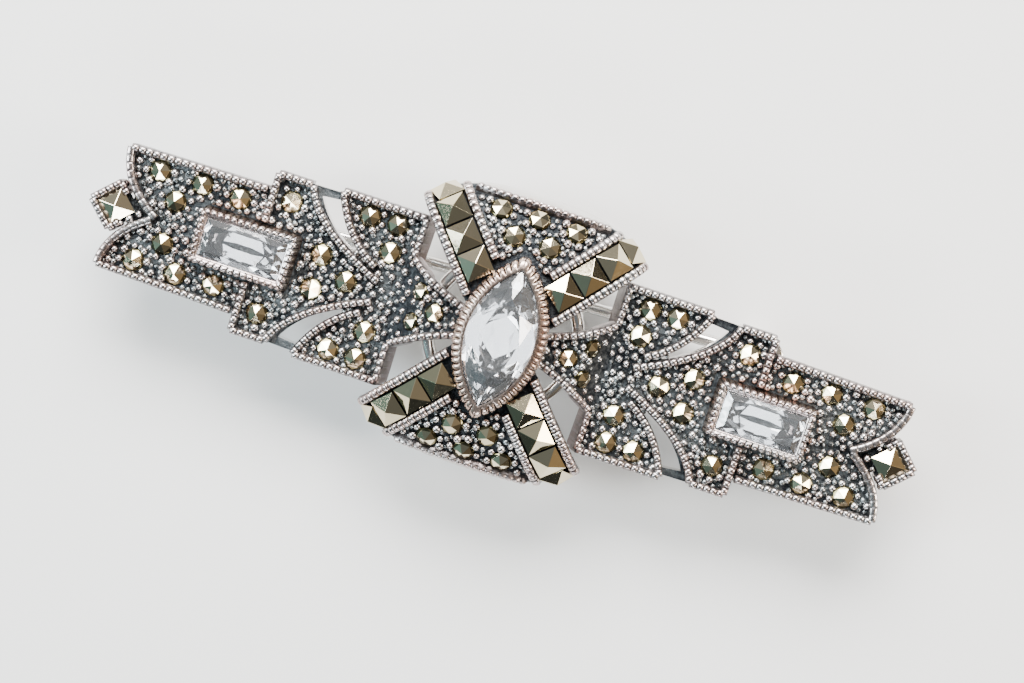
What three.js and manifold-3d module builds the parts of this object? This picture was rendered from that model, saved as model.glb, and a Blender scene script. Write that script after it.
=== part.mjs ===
// An openwork bar brooch of oxidised silver, in millimetres, +Z up.
// Two pierced wings meet a cushion-shaped bow that carries a marquise stone, with a
// baguette stone on each wing, square and round marcasites, and a hinged pin with
// a rolling catch behind. X runs along the bar and the back faces down.
// Inside the file z is 0 on top of the wings' borders; the last group lifts it all
// so that the lowest point, the mouth of the catch, stands at z = 0.
import * as THREE from "three";
import { mergeVertices } from "three/addons/utils/BufferGeometryUtils.js";
import Module from "manifold-3d";

const wasm = await Module();
wasm.setup();

// Driving dimensions -----------------------------------------------------------

const wing = {
  floor: -0.35, // sunk ground inside the borders
  back: -1.5,
  rim: 0.45, // width of the borders
  notchX: 25.1, // root of the swallow tail
  tailX: 28.2, // points of the swallow tail
  tailY: 4.4,
  stepX: 18.1, // the bar widens here
  endY: 4.6,
  stepY: 5.85,
  fanY: 6.1,
  innerX: 7.1, // edge that faces the bow
};
const leaf = { tipX: 10.3, tipY: 1.58, outX: 15.0, inX: 13.6, strutY: 5.35, strutTop: -0.6 };
const spear = { rootX: 7.3, rootY: 3.2, tipX: 2.5, tipY: 0.95, riseX: 5.7, top: 1.2, under: -0.35 };
const bow = { reach: 9.8, base: -2.7, height: 5.2, wall: 1.15, plan: 3, fall: 2.2, crown: 4 };
const arm = { angle: 49, offset: 0.4, channel: 2.1, rail: 0.62, railHeight: 0.35, firstStone: 5.2 };
const squareStone = { side: 2.0, girdle: 0.35, crown: 0.65, pitch: 2.04, sunk: 0.25, count: 4 };
const roundStone = { radius: 0.76, girdle: 0.35, crown: 0.45, sunk: 0.3 };
const marquise = { halfWidth: 2.5, halfLength: 5.0, girdle: 2.95, table: 3.95, keel: 0.75 };
const baguette = { x: 18.6, baseX: 18.45, halfLength: 3.0, halfWidth: 1.5, girdle: 0.9, table: 1.4, keel: -0.7 };
const endSetting = { x: 27.93, half: 1.47, stone: 1.9, neckTop: -0.6 };
const ring = { radius: 5.2, wire: 0.5 };
const pin = { offsetY: 3.14, slant: 2.7, drop: -4.2, radius: 0.45, hinge: -19, tip: 19.3, taper: 2.6 };
const joint = { knuckle: 0.95, knuckleWidth: 0.95, ear: 0.6, gap: 1.15, earRadius: 1.1, rivet: 0.36 };
const katch = { u: 16.8, length: 2.4, outer: 1.75, bore: 1.28, sleeve: 1.22, hole: 0.78, mouth: 1.2 };
const lever = { angle: 55, reach: 2.3, width: 0.6, thickness: 0.4 };
const patch = { halfU: 2.2, halfV: 1.9, thickness: 0.5 };
const seatGap = 0.02; // all round a stone in its seat
const runGap = 0.05; // round the rivet in the holes it passes

const radians = THREE.MathUtils.degToRad;

// Materials ------------------------------------------------------------------------

const finish = (color, roughness, metalness) => new THREE.MeshStandardMaterial({ color, roughness, metalness });
const oxidisedSilver = finish(0x7d8286, 0.42, 1);
const roseSilver = finish(0xb79a8c, 0.35, 1);
const polishedSilver = finish(0xc4c6c8, 0.2, 1);
const marcasite = finish(0x8c8468, 0.15, 1);
const clearStone = finish(0xe8eef6, 0.02, 0);

// Solids and geometries ---------------------------------------------------------------

function solidOf(geometry) {
  const bare = geometry.index ? geometry.toNonIndexed() : geometry.clone();
  bare.deleteAttribute("normal");
  bare.deleteAttribute("uv");
  const merged = mergeVertices(bare, 1e-5);
  return new wasm.Manifold(
    new wasm.Mesh({
      numProp: 3,
      vertProperties: merged.attributes.position.array,
      triVerts: new Uint32Array(merged.index.array),
    }),
  );
}

function geometryOf(solid) {
  const mesh = solid.getMesh();
  const points = new Float32Array(mesh.numVert * 3);
  for (let i = 0; i < mesh.numVert; i++) {
    points.set(mesh.vertProperties.subarray(i * mesh.numProp, i * mesh.numProp + 3), i * 3);
  }
  const geometry = new THREE.BufferGeometry();
  geometry.setAttribute("position", new THREE.BufferAttribute(points, 3));
  geometry.setIndex(new THREE.BufferAttribute(mesh.triVerts, 1));
  const flat = geometry.toNonIndexed();
  flat.computeVertexNormals();
  return flat;
}

function prism(shape, low, high, curveSegments = 8) {
  return new THREE.ExtrudeGeometry(shape, { depth: high - low, bevelEnabled: false, curveSegments }).translate(0, 0, low);
}

function box(x0, x1, y0, y1, z0, z1) {
  return new THREE.BoxGeometry(x1 - x0, y1 - y0, z1 - z0).translate((x0 + x1) / 2, (y0 + y1) / 2, (z0 + z1) / 2);
}

// A turned piece about Z. The profile is [radius, z] pairs that climb on the outside.
function turned(profile, segments) {
  const points = profile.map(([r, z]) => new THREE.Vector2(r, z));
  return new THREE.LatheGeometry(points, segments).rotateX(Math.PI / 2);
}

// A turned bar along +X: the same profile, laid down.
const turnedAlongX = (profile, segments) => turned(profile, segments).rotateY(Math.PI / 2);

const rod = (radius, low, high) => [
  [0, low],
  [radius, low],
  [radius, high],
  [0, high],
];

const polygon = (points) => new THREE.Shape(points.map(([x, y]) => new THREE.Vector2(x, y)));

// Moves every edge of a closed polygon inwards by a distance.
function inset(points, distance) {
  const turn = Math.sign(THREE.ShapeUtils.area(points));
  return points.map((point, i) => {
    const before = points[(i + points.length - 1) % points.length];
    const after = points[(i + 1) % points.length];
    const a = point.clone().sub(before).normalize();
    const b = after.clone().sub(point).normalize();
    const na = new THREE.Vector2(-a.y, a.x).multiplyScalar(turn);
    const nb = new THREE.Vector2(-b.y, b.x).multiplyScalar(turn);
    const reach = distance / Math.max(0.3, 1 + na.dot(nb));
    return point.clone().add(na.add(nb).multiplyScalar(reach));
  });
}

// Joins rings of equal point count into a closed body: each ring is [x, y, z] points.
// A loft whose last ring meets its first is a frame; otherwise both ends are capped.
function loft(rings, closed) {
  const size = rings[0].length;
  const points = rings.flat(2);
  const faces = [];
  const spans = closed ? rings.length : rings.length - 1;
  for (let i = 0; i < spans; i++) {
    const low = i * size;
    const high = ((i + 1) % rings.length) * size;
    for (let j = 0; j < size; j++) {
      const k = (j + 1) % size;
      faces.push(low + j, low + k, high + k, low + j, high + k, high + j);
    }
  }
  if (!closed) {
    const top = (rings.length - 1) * size;
    for (let j = 1; j < size - 1; j++) {
      faces.push(0, j + 1, j, top, top + j, top + j + 1);
    }
  }
  const geometry = new THREE.BufferGeometry();
  geometry.setAttribute("position", new THREE.Float32BufferAttribute(points, 3));
  geometry.setIndex(faces);
  const flat = geometry.toNonIndexed();
  flat.computeVertexNormals();
  return flat;
}

// A marquise outline, two arcs that meet at +-halfLength on Y.
function marquiseRing(halfWidth, halfLength, z, perSide = 10) {
  const radius = (halfLength ** 2 + halfWidth ** 2) / (2 * halfWidth);
  const sweep = Math.asin(halfLength / radius);
  const side = (sign) =>
    Array.from({ length: perSide }, (_, i) => {
      const angle = sweep * ((2 * i) / perSide - 1) * sign;
      return [sign * (radius * Math.cos(angle) - radius + halfWidth), radius * Math.sin(angle), z];
    });
  return [...side(1), ...side(-1)];
}

const rectangleRing = (halfX, halfY, z, x = 0) => [
  [x - halfX, -halfY, z],
  [x + halfX, -halfY, z],
  [x + halfX, halfY, z],
  [x - halfX, halfY, z],
];

// The bow is a cushion: level lines of its plan are rounded squares of this measure.
const cushion = (x, y) => (Math.abs(x) ** bow.plan + Math.abs(y) ** bow.plan) ** (1 / bow.plan);

// The height of the bow's surface over a point of the plan.
function bowZ(x, y) {
  const share = Math.min(1, cushion(x, y) / bow.reach) ** bow.fall;
  return bow.base + bow.height * (1 - share) ** (1 / bow.crown);
}

// The bow as a filled body, grown or shrunk from its surface.
function bowSolid(grow, steps = 11, around = 56) {
  const rings = Array.from({ length: steps }, (_, i) => {
    const angle = (Math.PI / 2) * (i / steps);
    const size = (bow.reach + grow) * Math.cos(angle) ** (2 / bow.fall);
    const z = bow.base + (bow.height + grow) * Math.sin(angle) ** (2 / bow.crown);
    return Array.from({ length: around }, (_, j) => {
      const turn = (2 * Math.PI * j) / around;
      const scale = size / cushion(Math.cos(turn), Math.sin(turn));
      return [scale * Math.cos(turn), scale * Math.sin(turn), z];
    });
  });
  return solidOf(loft(rings, false));
}

// Stones ---------------------------------------------------------------------------

// Every stone stands on z = 0 at the top of its girdle, before it is placed.
const squareGeometry = (grow = 0) => {
  const half = squareStone.side / 2 + grow;
  return loft(
    [
      rectangleRing(half * 0.7, half, -squareStone.girdle - grow),
      rectangleRing(half, half, 0),
      rectangleRing(0.02, 0.02, squareStone.crown),
    ],
    false,
  );
};

const roundGeometry = (radius, grow = 0) =>
  turned(
    [
      [0, -roundStone.girdle - grow],
      [radius + grow, -roundStone.girdle - grow],
      [radius + grow, 0],
      [0, roundStone.crown],
    ],
    8,
  );

// A frame whose z axis leaves the surface and whose x axis runs along a direction.
function placement(position, normal, along) {
  const z = normal.clone().normalize();
  const x = along.clone().addScaledVector(z, -along.dot(z)).normalize();
  const y = new THREE.Vector3().crossVectors(z, x);
  return new THREE.Matrix4().makeBasis(x, y, z).setPosition(position);
}

function onBow(x, y, sunk, along) {
  const step = 0.01;
  const fallX = (bowZ(x - step, y) - bowZ(x + step, y)) / (2 * step);
  const fallY = (bowZ(x, y - step) - bowZ(x, y + step)) / (2 * step);
  const normal = new THREE.Vector3(fallX, fallY, 1).normalize();
  const position = new THREE.Vector3(x, y, bowZ(x, y)).addScaledVector(normal, -sunk);
  return placement(position, normal, along);
}

// The plan point on an arm's middle line at a distance along it.
function armPoint(s) {
  const turn = radians(arm.angle);
  const x = Math.cos(turn) * s - Math.sin(turn) * arm.offset;
  const y = Math.sin(turn) * s + Math.cos(turn) * arm.offset;
  return [x, y];
}

// Plan points along an arm for stones one pitch apart, measured on the surface.
function armStations() {
  const stations = [];
  let travelled = squareStone.pitch;
  const stride = 0.002;
  for (let s = arm.firstStone; stations.length < squareStone.count; s += stride) {
    if (travelled >= squareStone.pitch) {
      stations.push(armPoint(s));
      travelled = 0;
    }
    travelled += Math.hypot(stride, bowZ(...armPoint(s)) - bowZ(...armPoint(s + stride)));
  }
  return stations;
}

const sides = [
  { name: "left", sign: -1 },
  { name: "right", sign: 1 },
];
const edges = [
  { name: "top", sign: 1 },
  { name: "bottom", sign: -1 },
];

const seats = { wings: { left: [], right: [] }, bows: { top: [], bottom: [] } };
const stoneMeshes = [];

function addStone(name, geometry, cutter, matrix, seatList) {
  const stone = new THREE.Mesh(geometry, marcasite);
  stone.name = name;
  stone.applyMatrix4(matrix);
  stoneMeshes.push(stone);
  seatList.push(solidOf(cutter.clone().applyMatrix4(matrix)));
}

const seatOnly = (cutter, matrix, seatList) => seatList.push(solidOf(cutter.clone().applyMatrix4(matrix)));

function setArms() {
  const stone = squareGeometry();
  const cutter = squareGeometry(seatGap);
  for (const side of sides) {
    for (const edge of edges) {
      const turn = radians(arm.angle);
      const along = new THREE.Vector3(side.sign * Math.cos(turn), edge.sign * Math.sin(turn), 0);
      armStations().forEach(([x, y], i) => {
        const matrix = onBow(side.sign * x, edge.sign * y, squareStone.sunk, along);
        addStone(`${edge.name}_${side.name}_arm_marcasite_${i + 1}`, stone, cutter, matrix, seats.bows[edge.name]);
      });
    }
  }
}

function setBowRounds() {
  const places = [
    [-2.7, 8.36],
    [0, 8.44],
    [2.7, 8.36],
    [-1.26, 6.82],
    [1.26, 6.82],
  ];
  const stone = roundGeometry(roundStone.radius);
  const cutter = roundGeometry(roundStone.radius, seatGap);
  for (const edge of edges) {
    places.forEach(([x, y], i) => {
      const matrix = onBow(x, edge.sign * y, roundStone.sunk, new THREE.Vector3(1, 0, 0));
      addStone(`${edge.name}_bow_marcasite_${i + 1}`, stone, cutter, matrix, seats.bows[edge.name]);
    });
  }
}

// Round stones of a wing, for x > 0 and y >= 0. Those of the fans are nodes; the
// others have their seats here.
const fanRounds = [
  [11.1, 4.83],
  [9.11, 4.85],
  [9.05, 2.88],
];
const otherRounds = [
  [25.77, 3.22],
  [22.72, 3.24],
  [24.17, 1.53],
  [19.96, 3.14],
  [16.53, 4.03],
  [13.48, 1.23],
];
const middleRound = [11.33, 0];
const spearRounds = { radius: 0.63, slope: [6.45, 1.09], flat: [4.82, 0] };

function setWingRounds() {
  const stone = roundGeometry(roundStone.radius);
  const cutter = roundGeometry(roundStone.radius, seatGap);
  const small = roundGeometry(spearRounds.radius, seatGap);
  const flatTop = wing.floor;
  const up = new THREE.Vector3(0, 0, 1);
  const rise = spear.top / (spear.rootX - spear.riseX);
  for (const side of sides) {
    const along = new THREE.Vector3(side.sign, 0, 0);
    const list = seats.wings[side.name];
    const at = (x, y, z, normal) => placement(new THREE.Vector3(side.sign * x, y, z), normal, along);
    for (const edge of edges) {
      fanRounds.forEach(([x, y], i) => {
        const matrix = at(x, edge.sign * y, flatTop, up);
        addStone(`${side.name}_${edge.name}_fan_marcasite_${i + 1}`, stone, cutter, matrix, list);
      });
      otherRounds.forEach(([x, y]) => seatOnly(cutter, at(x, edge.sign * y, flatTop, up), list));
      const slope = new THREE.Vector3(side.sign * rise, 0, 1);
      const [sx, sy] = spearRounds.slope;
      const sz = (spear.rootX - sx) * rise - roundStone.sunk;
      seatOnly(small, at(sx, edge.sign * sy, sz, slope), list);
    }
    seatOnly(cutter, at(middleRound[0], 0, flatTop, up), list);
    seatOnly(small, at(spearRounds.flat[0], 0, spear.top - roundStone.sunk, up), list);
  }
}

// Settings for the clear stones --------------------------------------------------------

// The marquise bezel: [halfWidth, halfLength, z] up the outside, then down the inside.
function marquiseBezel() {
  const profile = [
    [2.0, 4.55, -0.2],
    [2.75, 5.45, 1.2],
    [3.15, 5.85, 2.1],
    [2.62, 5.32, 3.3],
    [2.32, 5.0, 3.3],
    [marquise.halfWidth + seatGap, marquise.halfLength + 2 * seatGap, 3.02],
    [marquise.halfWidth + seatGap, marquise.halfLength + 2 * seatGap, 2.86],
    [1.65, 4.1, -0.2],
  ];
  return loft(
    profile.map(([w, l, z]) => marquiseRing(w, l, z)),
    true,
  );
}

function marquiseStone() {
  return loft(
    [
      marquiseRing(0.25, 1.6, marquise.keel),
      marquiseRing(marquise.halfWidth, marquise.halfLength, marquise.girdle - 0.05),
      marquiseRing(marquise.halfWidth, marquise.halfLength, marquise.girdle + 0.05),
      marquiseRing(1.45, 3.1, marquise.table),
    ],
    false,
  );
}

function baguetteBezel(sign) {
  const base = sign * baguette.baseX;
  const rim = sign * baguette.x;
  const length = baguette.halfLength + seatGap;
  const width = baguette.halfWidth + seatGap;
  return loft(
    [
      rectangleRing(3.55, 2.08, wing.floor, base),
      rectangleRing(3.18, 1.76, 1.15, rim),
      rectangleRing(2.84, 1.38, 1.15, rim),
      rectangleRing(length, width, baguette.girdle + 0.08, rim),
      rectangleRing(length, width, baguette.girdle - 0.08, rim),
      rectangleRing(2.65, 1.2, wing.floor, rim),
    ],
    true,
  );
}

function baguetteStone(sign) {
  const x = sign * baguette.x;
  return loft(
    [
      rectangleRing(1.9, 0.12, baguette.keel, x),
      rectangleRing(baguette.halfLength, baguette.halfWidth, baguette.girdle - 0.05, x),
      rectangleRing(baguette.halfLength, baguette.halfWidth, baguette.girdle + 0.05, x),
      rectangleRing(2.3, 0.9, baguette.table, x),
    ],
    false,
  );
}

// The bow ------------------------------------------------------------------------------

// One wall-to-wall strip in plan, beside or along an arm's centre line.
function armStrip(sideSign, edgeSign, offsetLow, offsetHigh) {
  const shape = polygon([
    [2, offsetLow],
    [15, offsetLow],
    [15, offsetHigh],
    [2, offsetHigh],
  ]);
  const strip = prism(shape, bow.base, 5).rotateZ(radians(arm.angle));
  const solid = solidOf(strip);
  const across = sideSign < 0 ? solid.mirror([1, 0, 0]) : solid;
  return edgeSign < 0 ? across.mirror([0, 1, 0]) : across;
}

function bowHalf(edge, bezelSolid) {
  const inner = arm.offset + arm.channel / 2;
  const outer = arm.offset - arm.channel / 2;
  const hollow = bowSolid(-bow.wall);
  const shell = bowSolid(0).subtract(hollow);
  const skin = bowSolid(arm.railHeight).subtract(hollow);
  const reach = 18;
  const mouthX = (arm.rail - outer) / Math.sin(radians(arm.angle));
  const dx = reach * Math.cos(radians(arm.angle));
  const dy = reach * Math.sin(radians(arm.angle));
  const half = polygon([
    [-mouthX, 0],
    [mouthX, 0],
    [mouthX + dx, edge.sign * dy],
    [-mouthX - dx, edge.sign * dy],
  ]);
  let body = shell;
  for (const side of sides) {
    for (const low of [inner, outer - arm.rail]) {
      const strip = armStrip(side.sign, edge.sign, low, low + arm.rail);
      body = body.add(skin.intersect(strip));
    }
  }
  body = body.intersect(solidOf(prism(half, bow.base, 5)));
  body = body.subtract(bezelSolid);
  for (const seat of seats.bows[edge.name]) {
    body = body.subtract(seat);
  }
  return body.decompose().sort((a, b) => b.volume() - a.volume())[0];
}

// The wings ----------------------------------------------------------------------------

const flip = (points, sign) => points.map((p) => new THREE.Vector2(p.x * sign, p.y));

function leafShape(edgeSign) {
  const shape = new THREE.Shape();
  shape.moveTo(leaf.tipX, edgeSign * leaf.tipY);
  shape.quadraticCurveTo(14.0, edgeSign * 3.0, leaf.outX, edgeSign * 5.9);
  shape.lineTo(leaf.outX, edgeSign * 7);
  shape.lineTo(leaf.inX, edgeSign * 7);
  shape.lineTo(leaf.inX, edgeSign * 5.9);
  shape.quadraticCurveTo(12.4, edgeSign * 3.6, leaf.tipX, edgeSign * leaf.tipY);
  return shape.getPoints(7).slice(0, -1);
}

function wingOutline() {
  const shape = new THREE.Shape();
  shape.moveTo(wing.notchX, 0);
  shape.quadraticCurveTo(28.15, 1.7, wing.tailX, wing.tailY);
  shape.lineTo(wing.stepX, wing.endY);
  shape.lineTo(wing.stepX, wing.stepY);
  shape.lineTo(wing.innerX, wing.fanY);
  shape.lineTo(wing.innerX, spear.rootY);
  shape.lineTo(spear.rootX, spear.rootY - 0.25);
  shape.lineTo(spear.rootX, 0.25 - spear.rootY);
  shape.lineTo(wing.innerX, -spear.rootY);
  shape.lineTo(wing.innerX, -wing.fanY);
  shape.lineTo(wing.stepX, -wing.stepY);
  shape.lineTo(wing.stepX, -wing.endY);
  shape.lineTo(wing.tailX, -wing.tailY);
  shape.quadraticCurveTo(28.15, -1.7, wing.notchX, 0);
  return shape.getPoints(7).slice(0, -1);
}

// The raised point that climbs from the fan to the marquise bezel.
function spearSolid(sign) {
  const lap = 0.1;
  const profile = polygon([
    [spear.rootX + lap, 0],
    [spear.rootX, 0],
    [spear.riseX, spear.top],
    [spear.tipX, spear.top],
    [spear.tipX, spear.under],
    [6.0, spear.under],
    [spear.rootX - 0.1, wing.back],
    [spear.rootX + lap, wing.back],
  ]);
  const slab = new THREE.ExtrudeGeometry(profile, { depth: 8, bevelEnabled: false }).rotateX(Math.PI / 2);
  slab.translate(0, 4, 0);
  const plan = polygon([
    [spear.rootX + lap, spear.rootY - 0.25],
    [spear.rootX - 0.4, spear.rootY],
    [spear.tipX, spear.tipY],
    [spear.tipX, -spear.tipY],
    [spear.rootX - 0.4, -spear.rootY],
    [spear.rootX + lap, 0.25 - spear.rootY],
  ]);
  const solid = solidOf(slab).intersect(solidOf(prism(plan, wing.back, spear.top + 1)));
  return sign < 0 ? solid.mirror([1, 0, 0]) : solid;
}

function wingSolid(side, neighbours) {
  const outline = wingOutline();
  const shapeOf = (points) => new THREE.Shape(flip(points, side.sign));
  let body = solidOf(prism(shapeOf(outline), wing.back, 0));
  let ground = solidOf(prism(shapeOf(inset(outline, wing.rim)), wing.floor, 1));
  for (const edge of edges) {
    const opening = leafShape(edge.sign);
    const border = inset(opening, -wing.rim);
    ground = ground.subtract(solidOf(prism(shapeOf(border), -2, 2)));
    const railX = [wing.stepX - wing.rim, wing.stepX].map((x) => x * side.sign).sort((a, b) => a - b);
    const railY = [2.2, wing.stepY].map((y) => y * edge.sign).sort((a, b) => a - b);
    ground = ground.subtract(solidOf(box(...railX, ...railY, -2, 2)));
    const through = solidOf(prism(shapeOf(opening), -3, 1));
    const strutLimit = [0, edge.sign * leaf.strutY].sort((a, b) => a - b);
    const span = solidOf(box(-40, 40, ...strutLimit, -4, 2));
    body = body.subtract(solidOf(prism(shapeOf(opening), leaf.strutTop, 1)));
    body = body.subtract(through.intersect(span));
  }
  body = body.subtract(ground).add(spearSolid(side.sign));
  const well = [side.sign * (baguette.x - 2.65), side.sign * (baguette.x + 2.65)].sort((a, b) => a - b);
  body = body.subtract(solidOf(box(...well, -1.2, 1.2, -3, 1)));
  const bed = [side.sign * (baguette.baseX - 3.57), side.sign * (baguette.baseX + 3.57)].sort((a, b) => a - b);
  body = body.subtract(solidOf(box(...bed, -2.1, 2.1, wing.floor, 2)));
  for (const cutter of [...seats.wings[side.name], ...neighbours]) {
    body = body.subtract(cutter);
  }
  return body.decompose().sort((a, b) => b.volume() - a.volume())[0];
}

// The square box at the end of a wing, with a neck that fills the root of the tail.
function endSettingSolid(sign, wingBody) {
  const boxSolid = solidOf(
    box(-endSetting.half, endSetting.half, -endSetting.half, endSetting.half, wing.back, 0)
      .rotateZ(Math.PI / 4)
      .translate(endSetting.x, 0, 0),
  );
  const neck = polygon([
    [wing.notchX - 0.2, -0.6],
    [27, -1.6],
    [27, 1.6],
    [wing.notchX - 0.2, 0.6],
  ]);
  const half = endSetting.stone / 2 + seatGap;
  const seat = solidOf(
    box(-half, half, -half, half, wing.floor - squareStone.girdle, 1)
      .rotateZ(Math.PI / 4)
      .translate(endSetting.x, 0, 0),
  );
  const joined = boxSolid.add(solidOf(prism(neck, wing.back, endSetting.neckTop))).subtract(seat);
  const placed = sign < 0 ? joined.mirror([1, 0, 0]) : joined;
  return placed.subtract(wingBody).decompose().sort((a, b) => b.volume() - a.volume())[0];
}

function endStone() {
  const half = endSetting.stone / 2;
  return loft(
    [
      rectangleRing(half, half, -squareStone.girdle + seatGap),
      rectangleRing(half, half, 0),
      rectangleRing(0.02, 0.02, squareStone.crown),
    ],
    false,
  ).rotateZ(Math.PI / 4);
}

// A round wire ring under the centre, soldered to the undersides of the two spears.
function galleryRing() {
  const section = Array.from({ length: 8 }, (_, i) => {
    const angle = (2 * Math.PI * i) / 8;
    return [ring.radius + ring.wire * Math.cos(angle), ring.wire * Math.sin(angle)];
  });
  return turned([...section, section[0]], 32).translate(0, 0, spear.under - ring.wire);
}

// The pin work, in its own frame: X along the pin, Z towards the front -----------------

const patchLow = wing.back - patch.thickness;

function patchAt(u) {
  const shape = new THREE.Shape();
  shape.absellipse(0, 0, patch.halfU, patch.halfV, 0, 2 * Math.PI, false, 0);
  return prism(shape, patchLow, wing.back, 10).translate(u, 0, 0);
}

function jointBracket() {
  const width = joint.gap / 2 + joint.ear;
  let body = solidOf(box(pin.hinge - 1.4, pin.hinge + 1.4, -width, width, patchLow - 0.45, patchLow));
  for (const sign of [-1, 1]) {
    const middle = (sign * (joint.gap + joint.ear)) / 2;
    const cheek = box(-joint.earRadius, joint.earRadius, -joint.ear / 2, joint.ear / 2, pin.drop, patchLow - 0.2);
    const end = turned(rod(joint.earRadius, -joint.ear / 2, joint.ear / 2), 20).rotateX(Math.PI / 2);
    body = body.add(solidOf(cheek.translate(pin.hinge, middle, 0)));
    body = body.add(solidOf(end.translate(pin.hinge, middle, pin.drop)));
  }
  const hole = turned(rod(joint.rivet + runGap, -3, 3), 16).rotateX(Math.PI / 2);
  return body.subtract(solidOf(hole.translate(pin.hinge, 0, pin.drop)));
}

function jointRivet() {
  const reach = joint.gap / 2 + joint.ear + runGap;
  const head = 0.25;
  const profile = [
    [0, -reach - head],
    [0.62, -reach - head],
    [0.62, -reach],
    [joint.rivet, -reach],
    [joint.rivet, reach],
    [0.62, reach],
    [0.62, reach + head],
    [0, reach + head],
  ];
  return turned(profile, 16).rotateX(Math.PI / 2).translate(pin.hinge, 0, pin.drop);
}

function pinStem() {
  const profile = [
    [0, pin.hinge + 0.6],
    [pin.radius, pin.hinge + 0.6],
    [pin.radius, pin.tip - pin.taper],
    [0.04, pin.tip],
    [0, pin.tip],
  ];
  const stem = solidOf(turnedAlongX(profile, 12));
  const knuckle = turned(rod(joint.knuckle, -joint.knuckleWidth / 2, joint.knuckleWidth / 2), 20);
  const disc = solidOf(knuckle.rotateX(Math.PI / 2).translate(pin.hinge, 0, 0));
  const hole = turned(rod(joint.rivet + runGap, -2, 2), 16).rotateX(Math.PI / 2);
  const body = stem.add(disc).subtract(solidOf(hole.translate(pin.hinge, 0, 0)));
  return geometryOf(body).translate(0, 0, pin.drop);
}

const slot = (depth) => solidOf(box(-3, 3, -katch.mouth / 2, katch.mouth / 2, -depth, 0));

function catchHousing() {
  const half = katch.length / 2;
  const tube = solidOf(turnedAlongX(rod(katch.outer, -half, half), 28));
  const neck = solidOf(box(-half, half, -0.8, 0.8, 1.4, patchLow - pin.drop));
  const bore = solidOf(turnedAlongX(rod(katch.bore, -3, 3), 28));
  const sweep = solidOf(box(-lever.width / 2 - 0.05, lever.width / 2 + 0.05, -2.2, -0.45, -1.9, 1.6));
  return tube.add(neck).subtract(bore).subtract(slot(2.2)).subtract(sweep).translate([katch.u, 0, pin.drop]);
}

// The sleeve turns in the housing. At rest its slot faces down with the mouth.
function catchSleeve() {
  const half = katch.length / 2;
  const tube = solidOf(turnedAlongX(rod(katch.sleeve, -half, half), 28));
  const bore = solidOf(turnedAlongX(rod(katch.hole, -3, 3), 28));
  const blade = box(
    -lever.width / 2,
    lever.width / 2,
    -lever.thickness / 2,
    lever.thickness / 2,
    -lever.reach,
    -katch.hole - 0.1,
  );
  const handle = solidOf(blade.rotateX(radians(-lever.angle)));
  return tube.subtract(bore).subtract(slot(2.2)).add(handle).translate([katch.u, 0, pin.drop]);
}

// Assembly -----------------------------------------------------------------------------

function piece(name, shape, material) {
  const geometry = shape.isBufferGeometry ? shape : geometryOf(shape);
  const mesh = new THREE.Mesh(geometry, material);
  mesh.name = name;
  return mesh;
}

setArms();
setBowRounds();
setWingRounds();

const front = new THREE.Group();
const bezel = marquiseBezel();
const bezelSolid = solidOf(bezel);
const bezelPlug = solidOf(
  loft(
    [
      marquiseRing(2.0, 4.55, -0.2),
      marquiseRing(2.75, 5.45, 1.2),
      marquiseRing(3.15, 5.85, 2.1),
      marquiseRing(3.15, 5.85, 6),
    ],
    false,
  ),
);
const bows = edges.map((edge) => bowHalf(edge, bezelPlug));
edges.forEach((edge, i) => front.add(piece(`bow_${edge.name}`, bows[i], oxidisedSilver)));
front.add(piece("marquise_bezel", bezelSolid, roseSilver));
front.add(piece("marquise_stone", marquiseStone(), clearStone));
front.add(piece("gallery_ring", galleryRing(), polishedSilver));
for (const side of sides) {
  const body = wingSolid(side, [...bows, bezelPlug]);
  front.add(piece(`${side.name}_wing`, body, oxidisedSilver));
  front.add(piece(`${side.name}_baguette_bezel`, baguetteBezel(side.sign), roseSilver));
  front.add(piece(`${side.name}_baguette_stone`, baguetteStone(side.sign), clearStone));
  front.add(piece(`${side.name}_end_setting`, endSettingSolid(side.sign, body), oxidisedSilver));
  const stone = piece(`${side.name}_end_marcasite`, endStone(), marcasite);
  stone.position.set(side.sign * endSetting.x, 0, wing.floor);
  front.add(stone);
}
front.add(...stoneMeshes);

const pinWork = new THREE.Group();
pinWork.position.y = pin.offsetY;
pinWork.rotation.z = radians(pin.slant);
pinWork.add(piece("joint_patch", patchAt(pin.hinge), polishedSilver));
pinWork.add(piece("joint_bracket", jointBracket(), polishedSilver));
pinWork.add(piece("joint_rivet", jointRivet(), polishedSilver));
pinWork.add(piece("pin_stem", pinStem(), polishedSilver));
pinWork.add(piece("catch_patch", patchAt(katch.u), polishedSilver));
pinWork.add(piece("catch_housing", catchHousing(), polishedSilver));
pinWork.add(piece("catch_sleeve", catchSleeve(), polishedSilver));

const brooch = new THREE.Group();
brooch.add(front, pinWork);
brooch.position.z = -new THREE.Box3().setFromObject(brooch).min.z;

export default brooch;
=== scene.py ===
import math
import random

import bmesh
import bpy
from mathutils import Matrix, Vector
from mathutils.geometry import tessellate_polygon


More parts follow.
